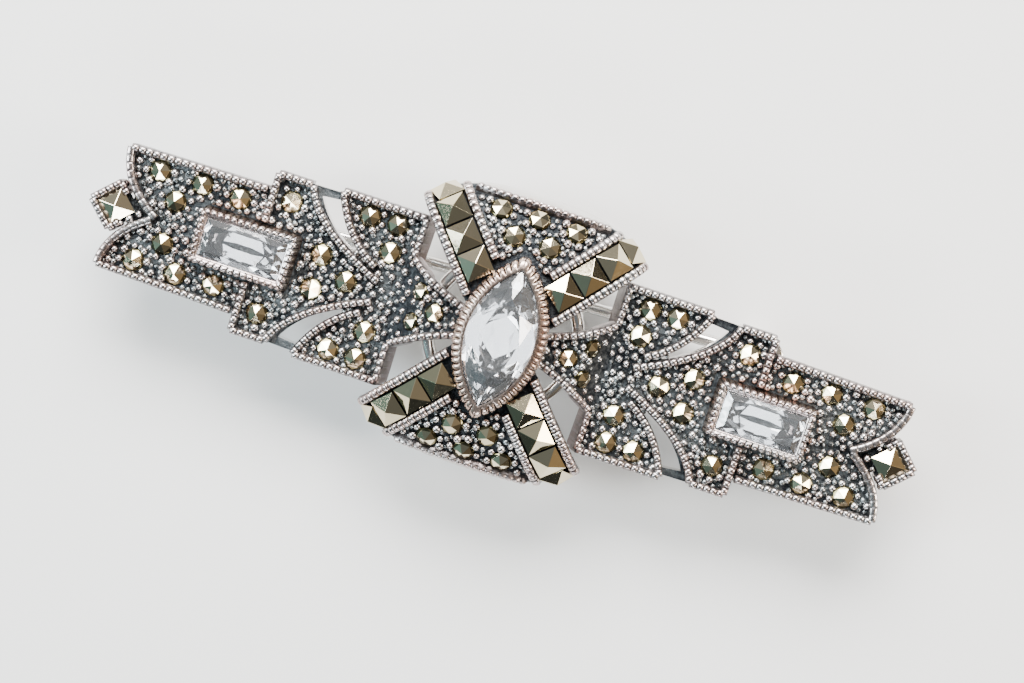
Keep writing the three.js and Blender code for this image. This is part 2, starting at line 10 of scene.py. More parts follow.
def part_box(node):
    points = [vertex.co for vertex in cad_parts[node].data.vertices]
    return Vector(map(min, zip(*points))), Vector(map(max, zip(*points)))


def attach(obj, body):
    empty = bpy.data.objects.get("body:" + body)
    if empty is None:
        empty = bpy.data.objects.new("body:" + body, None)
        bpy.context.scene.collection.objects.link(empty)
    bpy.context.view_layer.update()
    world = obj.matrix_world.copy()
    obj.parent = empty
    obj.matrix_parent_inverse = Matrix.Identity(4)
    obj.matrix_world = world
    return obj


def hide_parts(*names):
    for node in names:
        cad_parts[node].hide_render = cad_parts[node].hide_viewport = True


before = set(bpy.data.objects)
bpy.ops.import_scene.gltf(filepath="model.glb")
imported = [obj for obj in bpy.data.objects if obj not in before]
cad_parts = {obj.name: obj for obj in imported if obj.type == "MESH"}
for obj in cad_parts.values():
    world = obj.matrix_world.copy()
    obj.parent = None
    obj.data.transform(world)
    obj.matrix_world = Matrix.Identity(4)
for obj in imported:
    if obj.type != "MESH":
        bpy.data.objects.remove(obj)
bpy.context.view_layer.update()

# lengths below are millimetres, and z = 0 is the top of the wing borders
mm = 0.001
spearRise = 1.2
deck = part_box("left_wing")[1].z / mm - spearRise
dice = random.Random(7)
up = Vector((0, 0, 1))
quarters = [(1, 1), (-1, 1), (-1, -1), (1, -1)]     # the corners of a square, in turn
print("frame loaded, deck at", round(deck, 3), "mm")


class Shape:
    def __init__(self):
        self.points = []
        self.faces = []
        # rise is patina depth on the silver, and also painted shade: it is low on the lower sides of the
        # grains and on the stones' belts, which it darkens
        self.rise = []      # 1 on worn tops, 0 deep in the recesses
        self.finish = []    # material number of each face

    def add(self, points, faces, rise=1.0, finish=0):
        start = len(self.points)
        self.points += [Vector(p) for p in points]
        self.faces += [tuple(start + i for i in face) for face in faces]
        self.rise += rise if isinstance(rise, list) else [rise] * len(points)
        self.finish += [finish] * len(faces)

    # a grid of points, rows by columns, joined into quads
    def grid(self, rows, rise=1.0, finish=0, closeRows=False, closeColumns=False, caps=False):
        high, wide = len(rows), len(rows[0])
        faces = []
        for i in range(high if closeRows else high - 1):
            for j in range(wide if closeColumns else wide - 1):
                a, b = i * wide, ((i + 1) % high) * wide
                k = (j + 1) % wide
                faces.append((a + j, a + k, b + k, b + j))
        if caps:
            faces.append(tuple(range(wide)))
            faces.append(tuple((high - 1) * wide + j for j in reversed(range(wide))))
        values = [v for row in rise for v in row] if isinstance(rise, list) else rise
        self.add([p for row in rows for p in row], faces, values, finish)


def makePiece(name, shape, materials, slot, body="root", nodes=(), sharp=35.0, tone=None):
    mesh = bpy.data.meshes.new(name)
    offset = Vector((0, 0, deck))
    mesh.from_pydata([(p + offset) * mm for p in shape.points], [], shape.faces)
    mesh.attributes.new("rise", "FLOAT", "POINT").data.foreach_set("value", shape.rise)
    if tone is not None:
        tones = [tone] * len(shape.points)
        mesh.attributes.new("tone", "FLOAT", "POINT").data.foreach_set("value", tones)
    for material in materials:
        mesh.materials.append(material)
    mesh.polygons.foreach_set("material_index", shape.finish)
    work = bmesh.new()
    work.from_mesh(mesh)
    bmesh.ops.remove_doubles(work, verts=work.verts, dist=1e-7)
    bmesh.ops.recalc_face_normals(work, faces=work.faces)
    work.to_mesh(mesh)
    work.free()
    if sharp is None:
        mesh.shade_flat()
    else:
        mesh.shade_smooth()
        mesh.set_sharp_from_angle(angle=math.radians(sharp))
    piece = bpy.data.objects.new(name, mesh)
    bpy.context.scene.collection.objects.link(piece)
    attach(piece, body)
    if nodes:
        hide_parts(*nodes)


# a piece that stands for one node of the CAD and takes its name
def standIn(node, shape, materials, slot, **looks):
    first, *others = node.split("_")
    name = first + "".join(word.capitalize() for word in others)
    makePiece(name, shape, materials, slot, nodes=[node], **looks)


def bezier(a, control, b, count=24):
    a, control, b = Vector(a), Vector(control), Vector(b)
    steps = [i / count for i in range(count + 1)]
    return [a * (1 - t) ** 2 + control * 2 * t * (1 - t) + b * t * t for t in steps]


def line(a, b, count=8):
    a, b = Vector(a), Vector(b)
    return [a.lerp(b, i / count) for i in range(count + 1)]


# points along a path, one pitch apart as nearly as a whole number allows
def walk(path, pitch, count=None):
    lengths = [0.0]
    for a, b in zip(path, path[1:]):
        lengths.append(lengths[-1] + (b - a).length)
    count = count or max(1, round(lengths[-1] / pitch))
    result, k = [], 0
    for i in range(count + 1):
        goal = lengths[-1] * i / count
        while k < len(path) - 2 and lengths[k + 1] < goal:
            k += 1
        span = max(1e-9, lengths[k + 1] - lengths[k])
        result.append(path[k].lerp(path[k + 1], (goal - lengths[k]) / span))
    return result


def directions(points, closed=False):
    count = len(points)
    result = []
    for i in range(count):
        before = points[(i - 1) % count] if closed else points[max(0, i - 1)]
        after = points[(i + 1) % count] if closed else points[min(count - 1, i + 1)]
        result.append((after - before).normalized())
    return result


# "rim" is the share of the bow's reach where its side still has a slope
bow = {"reach": 9.8, "base": -2.7, "height": 5.2, "wall": 1.15, "plan": 3.0, "fall": 2.2, "crown": 4.0,
       "rim": 0.99999}
spear = {"rootX": 7.3, "riseX": 5.7, "top": spearRise, "rootY": 3.1, "tipX": 2.4, "tipY": 0.85}


def smoothStep(t):
    t = min(1.0, max(0.0, t))
    return t * t * (3 - 2 * t)


# height and normal of a wing, with the spear's climb to the marquise
def wingSurface(x, y):
    start = spear["rootX"] + 0.2

    def height(at):
        return spear["top"] * smoothStep((start - abs(at)) / (start - spear["riseX"]))
    z = height(x)
    slope = (height(x + 0.01) - height(x - 0.01)) / 0.02
    return Vector((x, y, z)), Vector((-slope, 0, 1)).normalized()


# the bow is a cushion: level lines of its plan are rounded squares of this measure
def cushion(x, y):
    return (abs(x) ** bow["plan"] + abs(y) ** bow["plan"]) ** (1 / bow["plan"])


# a point of the bow over a point of the plan, and its normal
def bowSurface(x, y, sink=0.0):
    size = cushion(x, y)
    share = min(bow["rim"], size / bow["reach"])
    lift = (1 - share ** bow["fall"]) ** (1 / bow["crown"])
    outward = bow["fall"] * share ** (bow["fall"] - 1) / bow["reach"]
    slope = [math.copysign((abs(c) / size) ** (bow["plan"] - 1), c) * outward for c in (x, y)]
    normal = Vector((*slope, bow["crown"] * lift ** (bow["crown"] - 1) / bow["height"])).normalized()
    return Vector((x, y, bow["base"] + bow["height"] * lift)) - normal * sink, normal


# cushion sizes that walk evenly down the bow's side, from one size to another
def bowSizes(first, last, count):
    fine = [first + (last - first) * (1 - (1 - i / 400) ** 3) for i in range(401)]
    side = [Vector((r, bowSurface(r, 0)[0].z)) for r in fine]
    return [p.x for p in walk(side, 1.0, count=count)]


def ballPoints(segments=10, rings=6):
    points = [Vector((0, 0, 1))]
    for i in range(1, rings):
        polar = math.pi * i / rings
        for j in range(segments):
            around = 2 * math.pi * j / segments
            x, y = math.sin(polar) * math.cos(around), math.sin(polar) * math.sin(around)
            points.append(Vector((x, y, math.cos(polar))))
    points.append(Vector((0, 0, -1)))
    faces = [(0, 1 + j, 1 + (j + 1) % segments) for j in range(segments)]
    for i in range(rings - 2):
        a, b = 1 + i * segments, 1 + (i + 1) * segments
        faces += [(a + j, b + j, b + (j + 1) % segments, a + (j + 1) % segments) for j in range(segments)]
    last, low = len(points) - 1, 1 + (rings - 2) * segments
    faces += [(last, low + (j + 1) % segments, low + j) for j in range(segments)]
    return points, faces


fineBall, coarseBall = ballPoints(), ballPoints(8, 5)


def addBall(shape, ball, centre, normal, along, sizes, finish=0, low=0.15):
    side = normal.cross(along).normalized()
    ahead = side.cross(normal)
    points = [centre + ahead * (p.x * sizes[0]) + side * (p.y * sizes[1]) + normal * (p.z * sizes[2])
              for p in ball[0]]
    # rise falls towards the bottom of each ball: patina in the crevice at its foot, and painted shade
    # darkening its lower sides
    rise = [low + (1 - low) * smoothStep(0.35 + 0.75 * p.z) for p in ball[0]]
    shape.add(points, ball[1], rise, finish)


# a ribbed rail: how far apart its ribs are, how square they stand, and how deep the cuts go
milgrain = {"pitch": 0.52, "width": 0.46, "height": 0.22, "square": 0.55, "cut": 0.7, "pinch": 0.22}
wornRail = {"pitch": 0.52, "width": 0.52, "height": 0.2, "square": 0.3, "cut": 0.16, "pinch": 0.04}
armRail = {"pitch": 0.5, "width": 0.62, "height": 0.3, "square": 0.5, "cut": 0.62, "pinch": 0.1}
skirt = 0.03        # how far the plain walls stand out below the ribs
wallRise = 0.5      # how worn those walls are
perRib = 8          # sections to each rib


# a rail laid along a path on a surface, cut across into a row of ribs or beads
def ribbedRail(shape, path, surface, style, depth=0.5):
    rough = [surface(p.x, p.y) for p in walk(path, 0.1)]
    spine = [q[0] for q in rough]
    ribs = len(walk(spine, style["pitch"])) - 1
    fine = walk(spine, 1.0, count=ribs * perRib)
    half, top = style["width"] / 2, style["height"]
    jitters = [(1 + dice.uniform(-0.06, 0.06), dice.uniform(-0.05, 0.05)) for _ in range(ribs + 1)]

    def gap(i, point):
        return (spine[i] - point).length_squared
    rows, rise, k = [], [], 0
    for i, (point, way) in enumerate(zip(fine, directions(fine))):
        while k + 1 < len(spine) and gap(k + 1, point) <= gap(k, point):
            k += 1
        normal = rough[k][1]
        side = normal.cross(way).normalized()
        phase = 2 * (i % perRib) / perRib - 1
        swell = max(0.0, 1 - phase * phase) ** style["square"]
        stretch, lean = jitters[i // perRib]
        wide = half * (1 - style["pinch"] * (1 - swell)) * stretch
        high = top * (1 - style["cut"] * (1 - swell)) * stretch
        foot = side * (half + skirt)
        row = [point - foot - normal * depth, point - foot - normal * skirt * 2]
        values = [wallRise, wallRise * 0.5]
        for j in range(-4, 5):
            turn = math.pi / 2 * j / 4
            across = math.copysign(abs(math.sin(turn)) ** 0.9, turn)
            row.append(point + side * wide * (across + lean) + normal * high * math.cos(turn) ** 0.7)
            values.append(swell * (0.25 + 0.75 * math.cos(turn) ** 0.5))
        rows.append(row + [point + foot - normal * skirt * 2, point + foot - normal * depth])
        rise.append(values + [wallRise * 0.5, wallRise])
    shape.grid(rows, rise, beadFinish, closeColumns=True, caps=True)


# round grains, and the low lumps that run between them
grain = {"radius": 0.3, "height": 0.3, "spacing": 0.64, "clear": 0.21, "rail": 0.4, "lift": 0.06,
         "ball": fineBall}
lump = {"radius": 0.2, "height": 0.15, "spacing": 0.37, "clear": 0.1, "rail": 0.28, "lift": 0.02,
        "ball": coarseBall}
cellSize = 0.6      # of the squares in which neighbours are looked up


# grains thrown into a region until it is full, clear of stones and rails
def scatterGrains(shape, inside, box, stones, rails, surface, sink, tries=14000):
    cells = {}
    (x0, y0), (x1, y1) = box
    starts = []
    for x, y, radius in stones:
        first = dice.uniform(0, math.tau)
        count = round(math.tau * (radius + grain["radius"]) / (grain["spacing"] * 1.25))
        starts += [(x + (radius + grain["clear"]) * math.cos(first + math.tau * i / count),
                    y + (radius + grain["clear"]) * math.sin(first + math.tau * i / count))
                   for i in range(count)]
    for finish, kind in enumerate((grain, lump)):
        throws = starts + [(dice.uniform(x0, x1), dice.uniform(y0, y1)) for _ in range(tries)]
        for x, y in throws:
            if not inside(x, y):
                continue
            if any(math.hypot(x - a, y - b) < r + kind["clear"] - 0.01 for a, b, r in stones):
                continue
            key = (round(x / cellSize), round(y / cellSize))
            near = [q for i in (-1, 0, 1) for j in (-1, 0, 1)
                    for q in cells.get((key[0] + i, key[1] + j), [])]
            if any(math.hypot(x - a, y - b) < kind["spacing"] * dice.uniform(0.85, 1.15) for a, b in near):
                continue
            if any(math.hypot(x - p.x, y - p.y) < kind["rail"] for p in rails):
                continue
            cells.setdefault(key, []).append((x, y))
            point, normal = surface(x, y)
            scale = dice.uniform(0.78, 1.12)
            size = (kind["radius"] * scale, kind["radius"] * scale * dice.uniform(0.88, 1.1),
                    kind["height"] * scale * dice.uniform(0.9, 1.3))
            way = Vector((math.cos(x * 9 + y), math.sin(x * 9 + y), 0))
            centre = point - normal * (sink - kind["lift"])
            addBall(shape, kind["ball"], centre, normal, way, size, finish, low=0.05)


def insidePolygon(polygon):
    points = [(p.x, p.y) for p in polygon]

    def test(x, y):
        hit = False
        for (ax, ay), (bx, by) in zip(points, points[1:] + points[:1]):
            if (ay > y) != (by > y) and x < (bx - ax) * (y - ay) / (by - ay) + ax:
                hit = not hit
        return hit
    return test


def newGroup(name, inputs, outputs):
    group = bpy.data.node_groups.new(name, "ShaderNodeTree")
    for label, kind, value in inputs:
        socket = group.interface.new_socket(name=label, in_out="INPUT", socket_type=kind)
        socket.default_value = value
    for label, kind in outputs:
        group.interface.new_socket(name=label, in_out="OUTPUT", socket_type=kind)
    return group


class Nodes:
    def __init__(self, tree):
        self.tree = tree

    def add(self, kind, settings=None, values=None, links=None):
        node = self.tree.nodes.new(kind)
        for key, value in (settings or {}).items():
            setattr(node, key, value)
        for key, value in (values or {}).items():
            node.inputs[key].default_value = value
        for key, source in (links or {}).items():
            self.tree.links.new(source, node.inputs[key])
        return node

    def math(self, operation, a, b=None, clamp=False):
        node = self.add("ShaderNodeMath", {"operation": operation, "use_clamp": clamp})
        for i, value in enumerate((a, b)):
            if value is None:
                continue
            if isinstance(value, (int, float)):
                node.inputs[i].default_value = value
            else:
                self.tree.links.new(value, node.inputs[i])
        return node.outputs[0]

    def mix(self, factor, a, b, blend="MIX"):
        node = self.add("ShaderNodeMix", {"data_type": "RGBA", "blend_type": blend})
        for i, value in ((0, factor), (6, a), (7, b)):
            if isinstance(value, (int, float, tuple)):
                node.inputs[i].default_value = value
            else:
                self.tree.links.new(value, node.inputs[i])
        return node.outputs[2]

    def ramp(self, factor, low, high):
        node = self.add("ShaderNodeMapRange", values={"From Min": low, "From Max": high},
                        links={"Value": factor})
        return node.outputs[0]

    def noise(self, scale, detail=3.0, rough=0.55):
        place = self.add("ShaderNodeTexCoord").outputs["Object"]
        node = self.add("ShaderNodeTexNoise", values={"Detail": detail, "Roughness": rough},
                        links={"Vector": place})
        if isinstance(scale, (int, float)):
            node.inputs["Scale"].default_value = scale
        else:
            self.tree.links.new(scale, node.inputs["Scale"])
        return node.outputs["Fac"]

    def attribute(self, name):
        return self.add("ShaderNodeAttribute", {"attribute_name": name}).outputs["Fac"]


# dark sulphide that stays in the recesses and wears off the tops; on the grains, whose rise falls towards
# their lower sides, this darkening is also painted shade
def tarnishAndShadeGroup():
    group = newGroup("tarnish",
                     [("Rise", "NodeSocketFloat", 1.0), ("Patch Scale", "NodeSocketFloat", 900.0),
                      ("Spread", "NodeSocketFloat", 0.4), ("Level", "NodeSocketFloat", 0.5)],
                     [("Dark", "NodeSocketFloat"), ("Patch", "NodeSocketFloat")])
    n = Nodes(group)
    given = n.add("NodeGroupInput")
    result = n.add("NodeGroupOutput")
    patch = n.noise(given.outputs["Patch Scale"], 4.0, 0.6)
    wander = n.math("MULTIPLY", n.math("SUBTRACT", patch, 0.5), given.outputs["Spread"])
    depth = n.math("ADD", n.math("SUBTRACT", 1.0, given.outputs["Rise"]), wander)
    dark = n.math("ADD", n.math("SUBTRACT", depth, given.outputs["Level"]), 0.5, clamp=True)
    broad = n.ramp(n.noise(260.0, 2.0), 0.35, 0.65)
    group.links.new(dark, result.inputs["Dark"])
    group.links.new(broad, result.inputs["Patch"])
    return group


# the fine pits and scratches of handled metal
def handlingGroup():
    group = newGroup("handling",
                     [("Pit Scale", "NodeSocketFloat", 5000.0), ("Scratch Scale", "NodeSocketFloat", 2500.0)],
                     [("Height", "NodeSocketFloat"), ("Wear", "NodeSocketFloat")])
    n = Nodes(group)
    given = n.add("NodeGroupInput")
    result = n.add("NodeGroupOutput")
    pits = n.noise(given.outputs["Pit Scale"], 5.0, 0.65)
    place = n.add("ShaderNodeTexCoord").outputs["Object"]
    turned = n.add("ShaderNodeMapping", values={"Rotation": (0, 0, 0.6), "Scale": (1, 0.06, 1)},
                   links={"Vector": place})
    scratch = n.add("ShaderNodeTexNoise", values={"Detail": 2.0},
                    links={"Vector": turned.outputs[0], "Scale": given.outputs["Scratch Scale"]})
    lines = n.ramp(scratch.outputs["Fac"], 0.58, 0.72)
    height = n.math("SUBTRACT", pits, n.math("MULTIPLY", lines, 0.35))
    group.links.new(height, result.inputs["Height"])
    group.links.new(n.ramp(pits, 0.3, 0.7), result.inputs["Wear"])
    return group


tarnish = tarnishAndShadeGroup()
handling = handlingGroup()


def newMaterial(name):
    material = bpy.data.materials.new(name)
    material.use_nodes = True
    tree = material.node_tree
    return material, Nodes(tree), tree.nodes["Principled BSDF"]


metalLooks = {
    "silverGround": {
        "clean": (0.165, 0.178, 0.183, 1), "warm": (0.075, 0.085, 0.09, 1), "dark": (0.012, 0.014, 0.017, 1),
        "rough": (0.3, 0.55), "level": 0.5, "spread": 1.1, "patch": 3800.0,
        "bump": 1.0, "distance": 0.00012, "pits": 3000.0},
    "silverBead": {
        "clean": (0.56, 0.53, 0.52, 1), "warm": (0.52, 0.41, 0.385, 1), "dark": (0.022, 0.024, 0.028, 1),
        "rough": (0.2, 0.42), "level": 0.55, "spread": 0.5, "patch": 1500.0,
        "bump": 0.3, "distance": 0.00002, "pits": 6000.0},
    # on grains and lumps the dark colour is partly painted shade, laid on their lower sides
    "silverGrain": {
        "clean": (0.56, 0.55, 0.545, 1), "warm": (0.46, 0.39, 0.37, 1), "dark": (0.02, 0.022, 0.026, 1),
        "rough": (0.18, 0.38), "level": 0.45, "spread": 0.6, "patch": 1800.0,
        "bump": 0.4, "distance": 0.00003, "pits": 5000.0},
    "silverLump": {
        "clean": (0.3, 0.33, 0.34, 1), "warm": (0.26, 0.25, 0.24, 1), "dark": (0.02, 0.024, 0.028, 1),
        "rough": (0.2, 0.42), "level": 0.5, "spread": 0.9, "patch": 2600.0,
        "bump": 0.8, "distance": 0.00006, "pits": 4000.0},
    "roseBezel": {
        "clean": (0.68, 0.55, 0.48, 1), "warm": (0.48, 0.33, 0.27, 1), "dark": (0.03, 0.022, 0.018, 1),
        "rough": (0.2, 0.42), "level": 0.5, "spread": 0.45, "patch": 1200.0,
        "bump": 0.3, "distance": 0.00002, "pits": 6000.0},
    "polishedSilver": {
        "clean": (0.82, 0.81, 0.79, 1), "warm": (0.70, 0.66, 0.62, 1), "dark": (0.12, 0.12, 0.13, 1),
        "rough": (0.12, 0.3), "level": 0.95, "spread": 0.4, "patch": 500.0,
        "bump": 0.12, "distance": 0.00002, "pits": 3000.0},
}


# what all metallic surfaces share
def finishMetal(n, surface, colour, rough, strength, distance, height):
    bump = n.add("ShaderNodeBump", values={"Strength": strength, "Distance": distance},
                 links={"Height": height})
    n.tree.links.new(colour, surface.inputs["Base Color"])
    n.tree.links.new(rough, surface.inputs["Roughness"])
    n.tree.links.new(bump.outputs[0], surface.inputs["Normal"])
    surface.inputs["Metallic"].default_value = 1.0


def metal(name):
    look = metalLooks[name]
    material, n, surface = newMaterial(name)
    # patina in the recesses, and painted shade on the grains' lower sides
    patinaAndShade = n.add("ShaderNodeGroup", {"node_tree": tarnish},
                {"Patch Scale": look["patch"], "Spread": look["spread"], "Level": look["level"]},
                {"Rise": n.attribute("rise")})
    wear = n.add("ShaderNodeGroup", {"node_tree": handling}, {"Pit Scale": look["pits"]})
    body = n.mix(patinaAndShade.outputs["Patch"], look["clean"], look["warm"])
    colour = n.mix(patinaAndShade.outputs["Dark"], body, look["dark"])
    low, high = look["rough"]
    rough = n.math("ADD", n.math("MULTIPLY", wear.outputs["Wear"], (high - low) * 0.5), low)
    rough = n.math("ADD", rough, n.math("MULTIPLY", patinaAndShade.outputs["Dark"], (high - low) * 0.5))
    finishMetal(n, surface, colour, rough, look["bump"], look["distance"], wear.outputs["Height"])
    return material


# rim is painted shade: the dark olive colour laid on each stone's belt where it sits down in its setting
pyriteLook = {"pale": (0.78, 0.68, 0.48, 1), "deep": (0.5, 0.43, 0.27, 1), "rim": (0.07, 0.062, 0.022, 1),
              "rough": 0.05, "wear": 0.06, "bump": 0.08, "distance": 0.00002}


# polished pyrite: bright brassy facets, with painted shade on the girdle: each stone's belt is coloured dark
# like the shadowed gap of its seat
def pyrite():
    look = pyriteLook
    material, n, surface = newMaterial("pyrite")
    wear = n.add("ShaderNodeGroup", {"node_tree": handling}, {"Pit Scale": 4000.0, "Scratch Scale": 1500.0})
    body = n.mix(n.attribute("tone"), look["pale"], look["deep"])
    # painted shade: low rise on the belt takes the colour to the dark rim colour
    colour = n.mix(n.attribute("rise"), look["rim"], body)
    rough = n.math("ADD", n.math("MULTIPLY", wear.outputs["Wear"], look["wear"]), look["rough"])
    finishMetal(n, surface, colour, rough, look["bump"], look["distance"], wear.outputs["Height"])
    return material


def clearStone():
    material, n, surface = newMaterial("clearStone")
    haze = n.ramp(n.noise(420.0, 3.0), 0.3, 0.7)
    colour = n.mix(haze, (1, 1, 1, 1), (0.955, 0.97, 1, 1))
    n.tree.links.new(colour, surface.inputs["Base Color"])
    n.tree.links.new(n.math("MULTIPLY", haze, 0.01), surface.inputs["Roughness"])
    surface.inputs["Transmission Weight"].default_value = 0.97
    surface.inputs["IOR"].default_value = 2.16
    return material


silver = [metal("silverGround"), metal("silverBead"), metal("polishedSilver")]
groundFinish, beadFinish, polishFinish = range(3)
bead, polished = silver[beadFinish], silver[polishFinish]
granules = [metal("silverGrain"), metal("silverLump")]
rose = metal("roseBezel")
marcasite = pyrite()
crystal = clearStone()
print("materials made")


# a seat is how deep a stone sits, and the low apex belongs to the bow's upper half
roundCut = {"radius": 0.77, "facet": 0.66, "base": -0.3, "belt": 0.02, "step": 0.13, "apex": 0.46,
            "lowApex": 0.31, "bowSeat": 0.26, "wingSeat": 0.36, "spearSeat": 0.28}
squareCut = {"half": 0.965, "base": -0.5, "belt": 0.0, "apex": 0.58, "edge": 0.025}


# a rose cut: six facets to a point over a narrow faceted belt
def roseShape(scale=1.0, turn=0.0, apex=roundCut["apex"]):
    shape = Shape()
    r, f = roundCut["radius"] * scale, roundCut["facet"] * scale

    def ringOf(radius, z, count, first):
        return [Vector((radius * math.cos(first + math.tau * i / count),
                        radius * math.sin(first + math.tau * i / count), z)) for i in range(count)]
    low = ringOf(r, roundCut["base"], 12, turn)
    belt = ringOf(r, roundCut["belt"], 12, turn)
    step = ringOf(f, roundCut["step"], 6, turn)
    inner = ringOf(f * 0.99, roundCut["step"] + 0.005, 6, turn)
    faces = [tuple(reversed(range(12)))]
    faces += [(i, (i + 1) % 12, 12 + (i + 1) % 12, 12 + i) for i in range(12)]
    for i in range(6):
        a, b, c = 12 + 2 * i, 12 + (2 * i + 1) % 12, 12 + (2 * i + 2) % 12
        s, t = 24 + i, 24 + (i + 1) % 6
        faces += [(a, b, s), (b, t, s), (b, c, t), (s, t, t + 6, s + 6), (s + 6, t + 6, 36)]
    points = low + belt + step + inner + [Vector((0, 0, apex * scale))]
    # the low ring and the belt get almost no rise, so the pyrite paints them dark: painted shade round the
    # stone's seat
    shape.add(points, faces, [0.0] * 12 + [0.02] * 12 + [0.22] * 6 + [1.0] * 7)
    return shape


# a square pyramid whose edges are worn to narrow bright lines
def pyramidShape(h=squareCut["half"]):
    shape = Shape()
    e = squareCut["edge"]
    low = [Vector((x * h * 0.8, y * h * 0.8, squareCut["base"])) for x, y in quarters]
    belt = [Vector((x * h, y * h, squareCut["belt"] - 0.06)) for x, y in quarters]
    slope = squareCut["apex"] / h
    tops, points = [], low + belt
    for k in range(4):
        (ax, ay), (bx, by) = quarters[k], quarters[(k + 1) % 4]
        mid = Vector(((ax + bx) / 2, (ay + by) / 2, 0))
        along = Vector(((bx - ax) / 2, (by - ay) / 2, 0))
        start = len(points)
        points += [mid * h - along * (h - e) + up * squareCut["belt"],
                   mid * h + along * (h - e) + up * squareCut["belt"],
                   mid * e + up * (squareCut["apex"] - e * slope)]
        tops.append(start)
    faces = [(3, 2, 1, 0)] + [(i, (i + 1) % 4, 4 + (i + 1) % 4, 4 + i) for i in range(4)]
    points.append(Vector((0, 0, squareCut["apex"] - e * slope * 0.6)))
    tip = len(points) - 1
    for k in range(4):
        a, b = tops[k], tops[(k + 1) % 4]
        faces.append((a, a + 1, a + 2))
        faces.append((4 + k, 4 + (k + 1) % 4, a + 1, a))
        faces.append((a + 1, b, b + 2, a + 2))
        faces.append((4 + (k + 1) % 4, b, a + 1))
        faces.append((a + 2, b + 2, tip))
    # the base and belt get low rise, so the pyrite paints them dark: painted shade where the stone sits in
    # its channel
    rise = [0.0] * 4 + [0.2] * 4 + [1.0] * (len(points) - 8)
    shape.add(points, faces, rise)
    return shape


def placed(shape, point, normal, along):
    ahead = (along - normal * along.dot(normal)).normalized()
    side = normal.cross(ahead)
    moved = Shape()
    moved.add([point + ahead * p.x + side * p.y + normal * p.z for p in shape.points],
              shape.faces, list(shape.rise))
    return moved


def setMarcasite(node, stone, tone):
    standIn(node, stone, [marcasite], "marcasite", sharp=None, tone=tone)


arm = {"angle": 49, "offset": 0.4, "channel": 2.1, "rail": 0.62, "innerStart": 5.0, "outerStart": 3.3,
       "railEnd": 9.66, "railDepth": 0.75, "firstStone": 5.2, "pitch": 2.04, "stones": 4,
       "sink": -0.1, "lastSink": 0.06}
panel = {"y": 9.22, "wallY": 9.15, "wallSize": 9.62, "blend": 0.24, "sunk": 0.34, "start": 2.3, "steps": 72,
         "rowEnd": 4.75}
# x, y, turn in degrees
bowRounds = [(-2.7, 8.36, 12), (0, 8.44, 0), (2.7, 8.36, -8), (-1.26, 6.82, 28), (1.26, 6.82, 34)]
marquisePlan = {"halfWidth": 2.5, "halfLength": 5.0}
sides = {"left": -1, "right": 1}
edges = {"top": 1, "bottom": -1}


armX, armY = math.cos(math.radians(arm["angle"])), math.sin(math.radians(arm["angle"]))


# a plan point so far along an arm's middle and so far beside it
def besideArm(s, offset):
    return armX * s - armY * offset, armY * s + armX * offset


# a plan point on a line beside an arm's middle, where the cushion has a given size
def armLine(size, offset, sideSign, edgeSign):
    low, high = 0.0, 2 * bow["reach"]
    for _ in range(40):
        s = (low + high) / 2
        if cushion(*besideArm(s, offset)) < size:
            low = s
        else:
            high = s
    x, y = besideArm(s, offset)
    return Vector((sideSign * x, edgeSign * y))


def marquiseHalfWidth(y, grow):
    w, l = marquisePlan["halfWidth"] + grow, marquisePlan["halfLength"] + grow * 1.3
    radius = (l * l + w * w) / (2 * w)
    return math.sqrt(max(0.0, radius ** 2 - y * y)) - radius + w if abs(y) < l else -1.0


innerRail = arm["offset"] + arm["channel"] / 2 + arm["rail"] / 2
outerRail = arm["offset"] - arm["channel"] / 2 - arm["rail"] / 2


# plan points along an arm for its stones, one pitch apart over the surface
def armStations():
    found, travelled, s = [], arm["pitch"], arm["firstStone"]
    stride = 0.002
    last = None
    while len(found) < arm["stones"]:
        x, y = besideArm(s, arm["offset"])
        here = bowSurface(x, y)[0]
        travelled += (here - last).length if last else 0.0
        if travelled >= arm["pitch"]:
            found.append((x, y))
            travelled = 0.0
        last = here
        s += stride
    return found


# how far a spot belongs to the plain polished wall below the set panel
def wallShare(x, y):
    return max(smoothStep((abs(y) - panel["wallY"]) / panel["blend"]),
               smoothStep((cushion(x, y) - panel["wallSize"]) / panel["blend"] * 2))


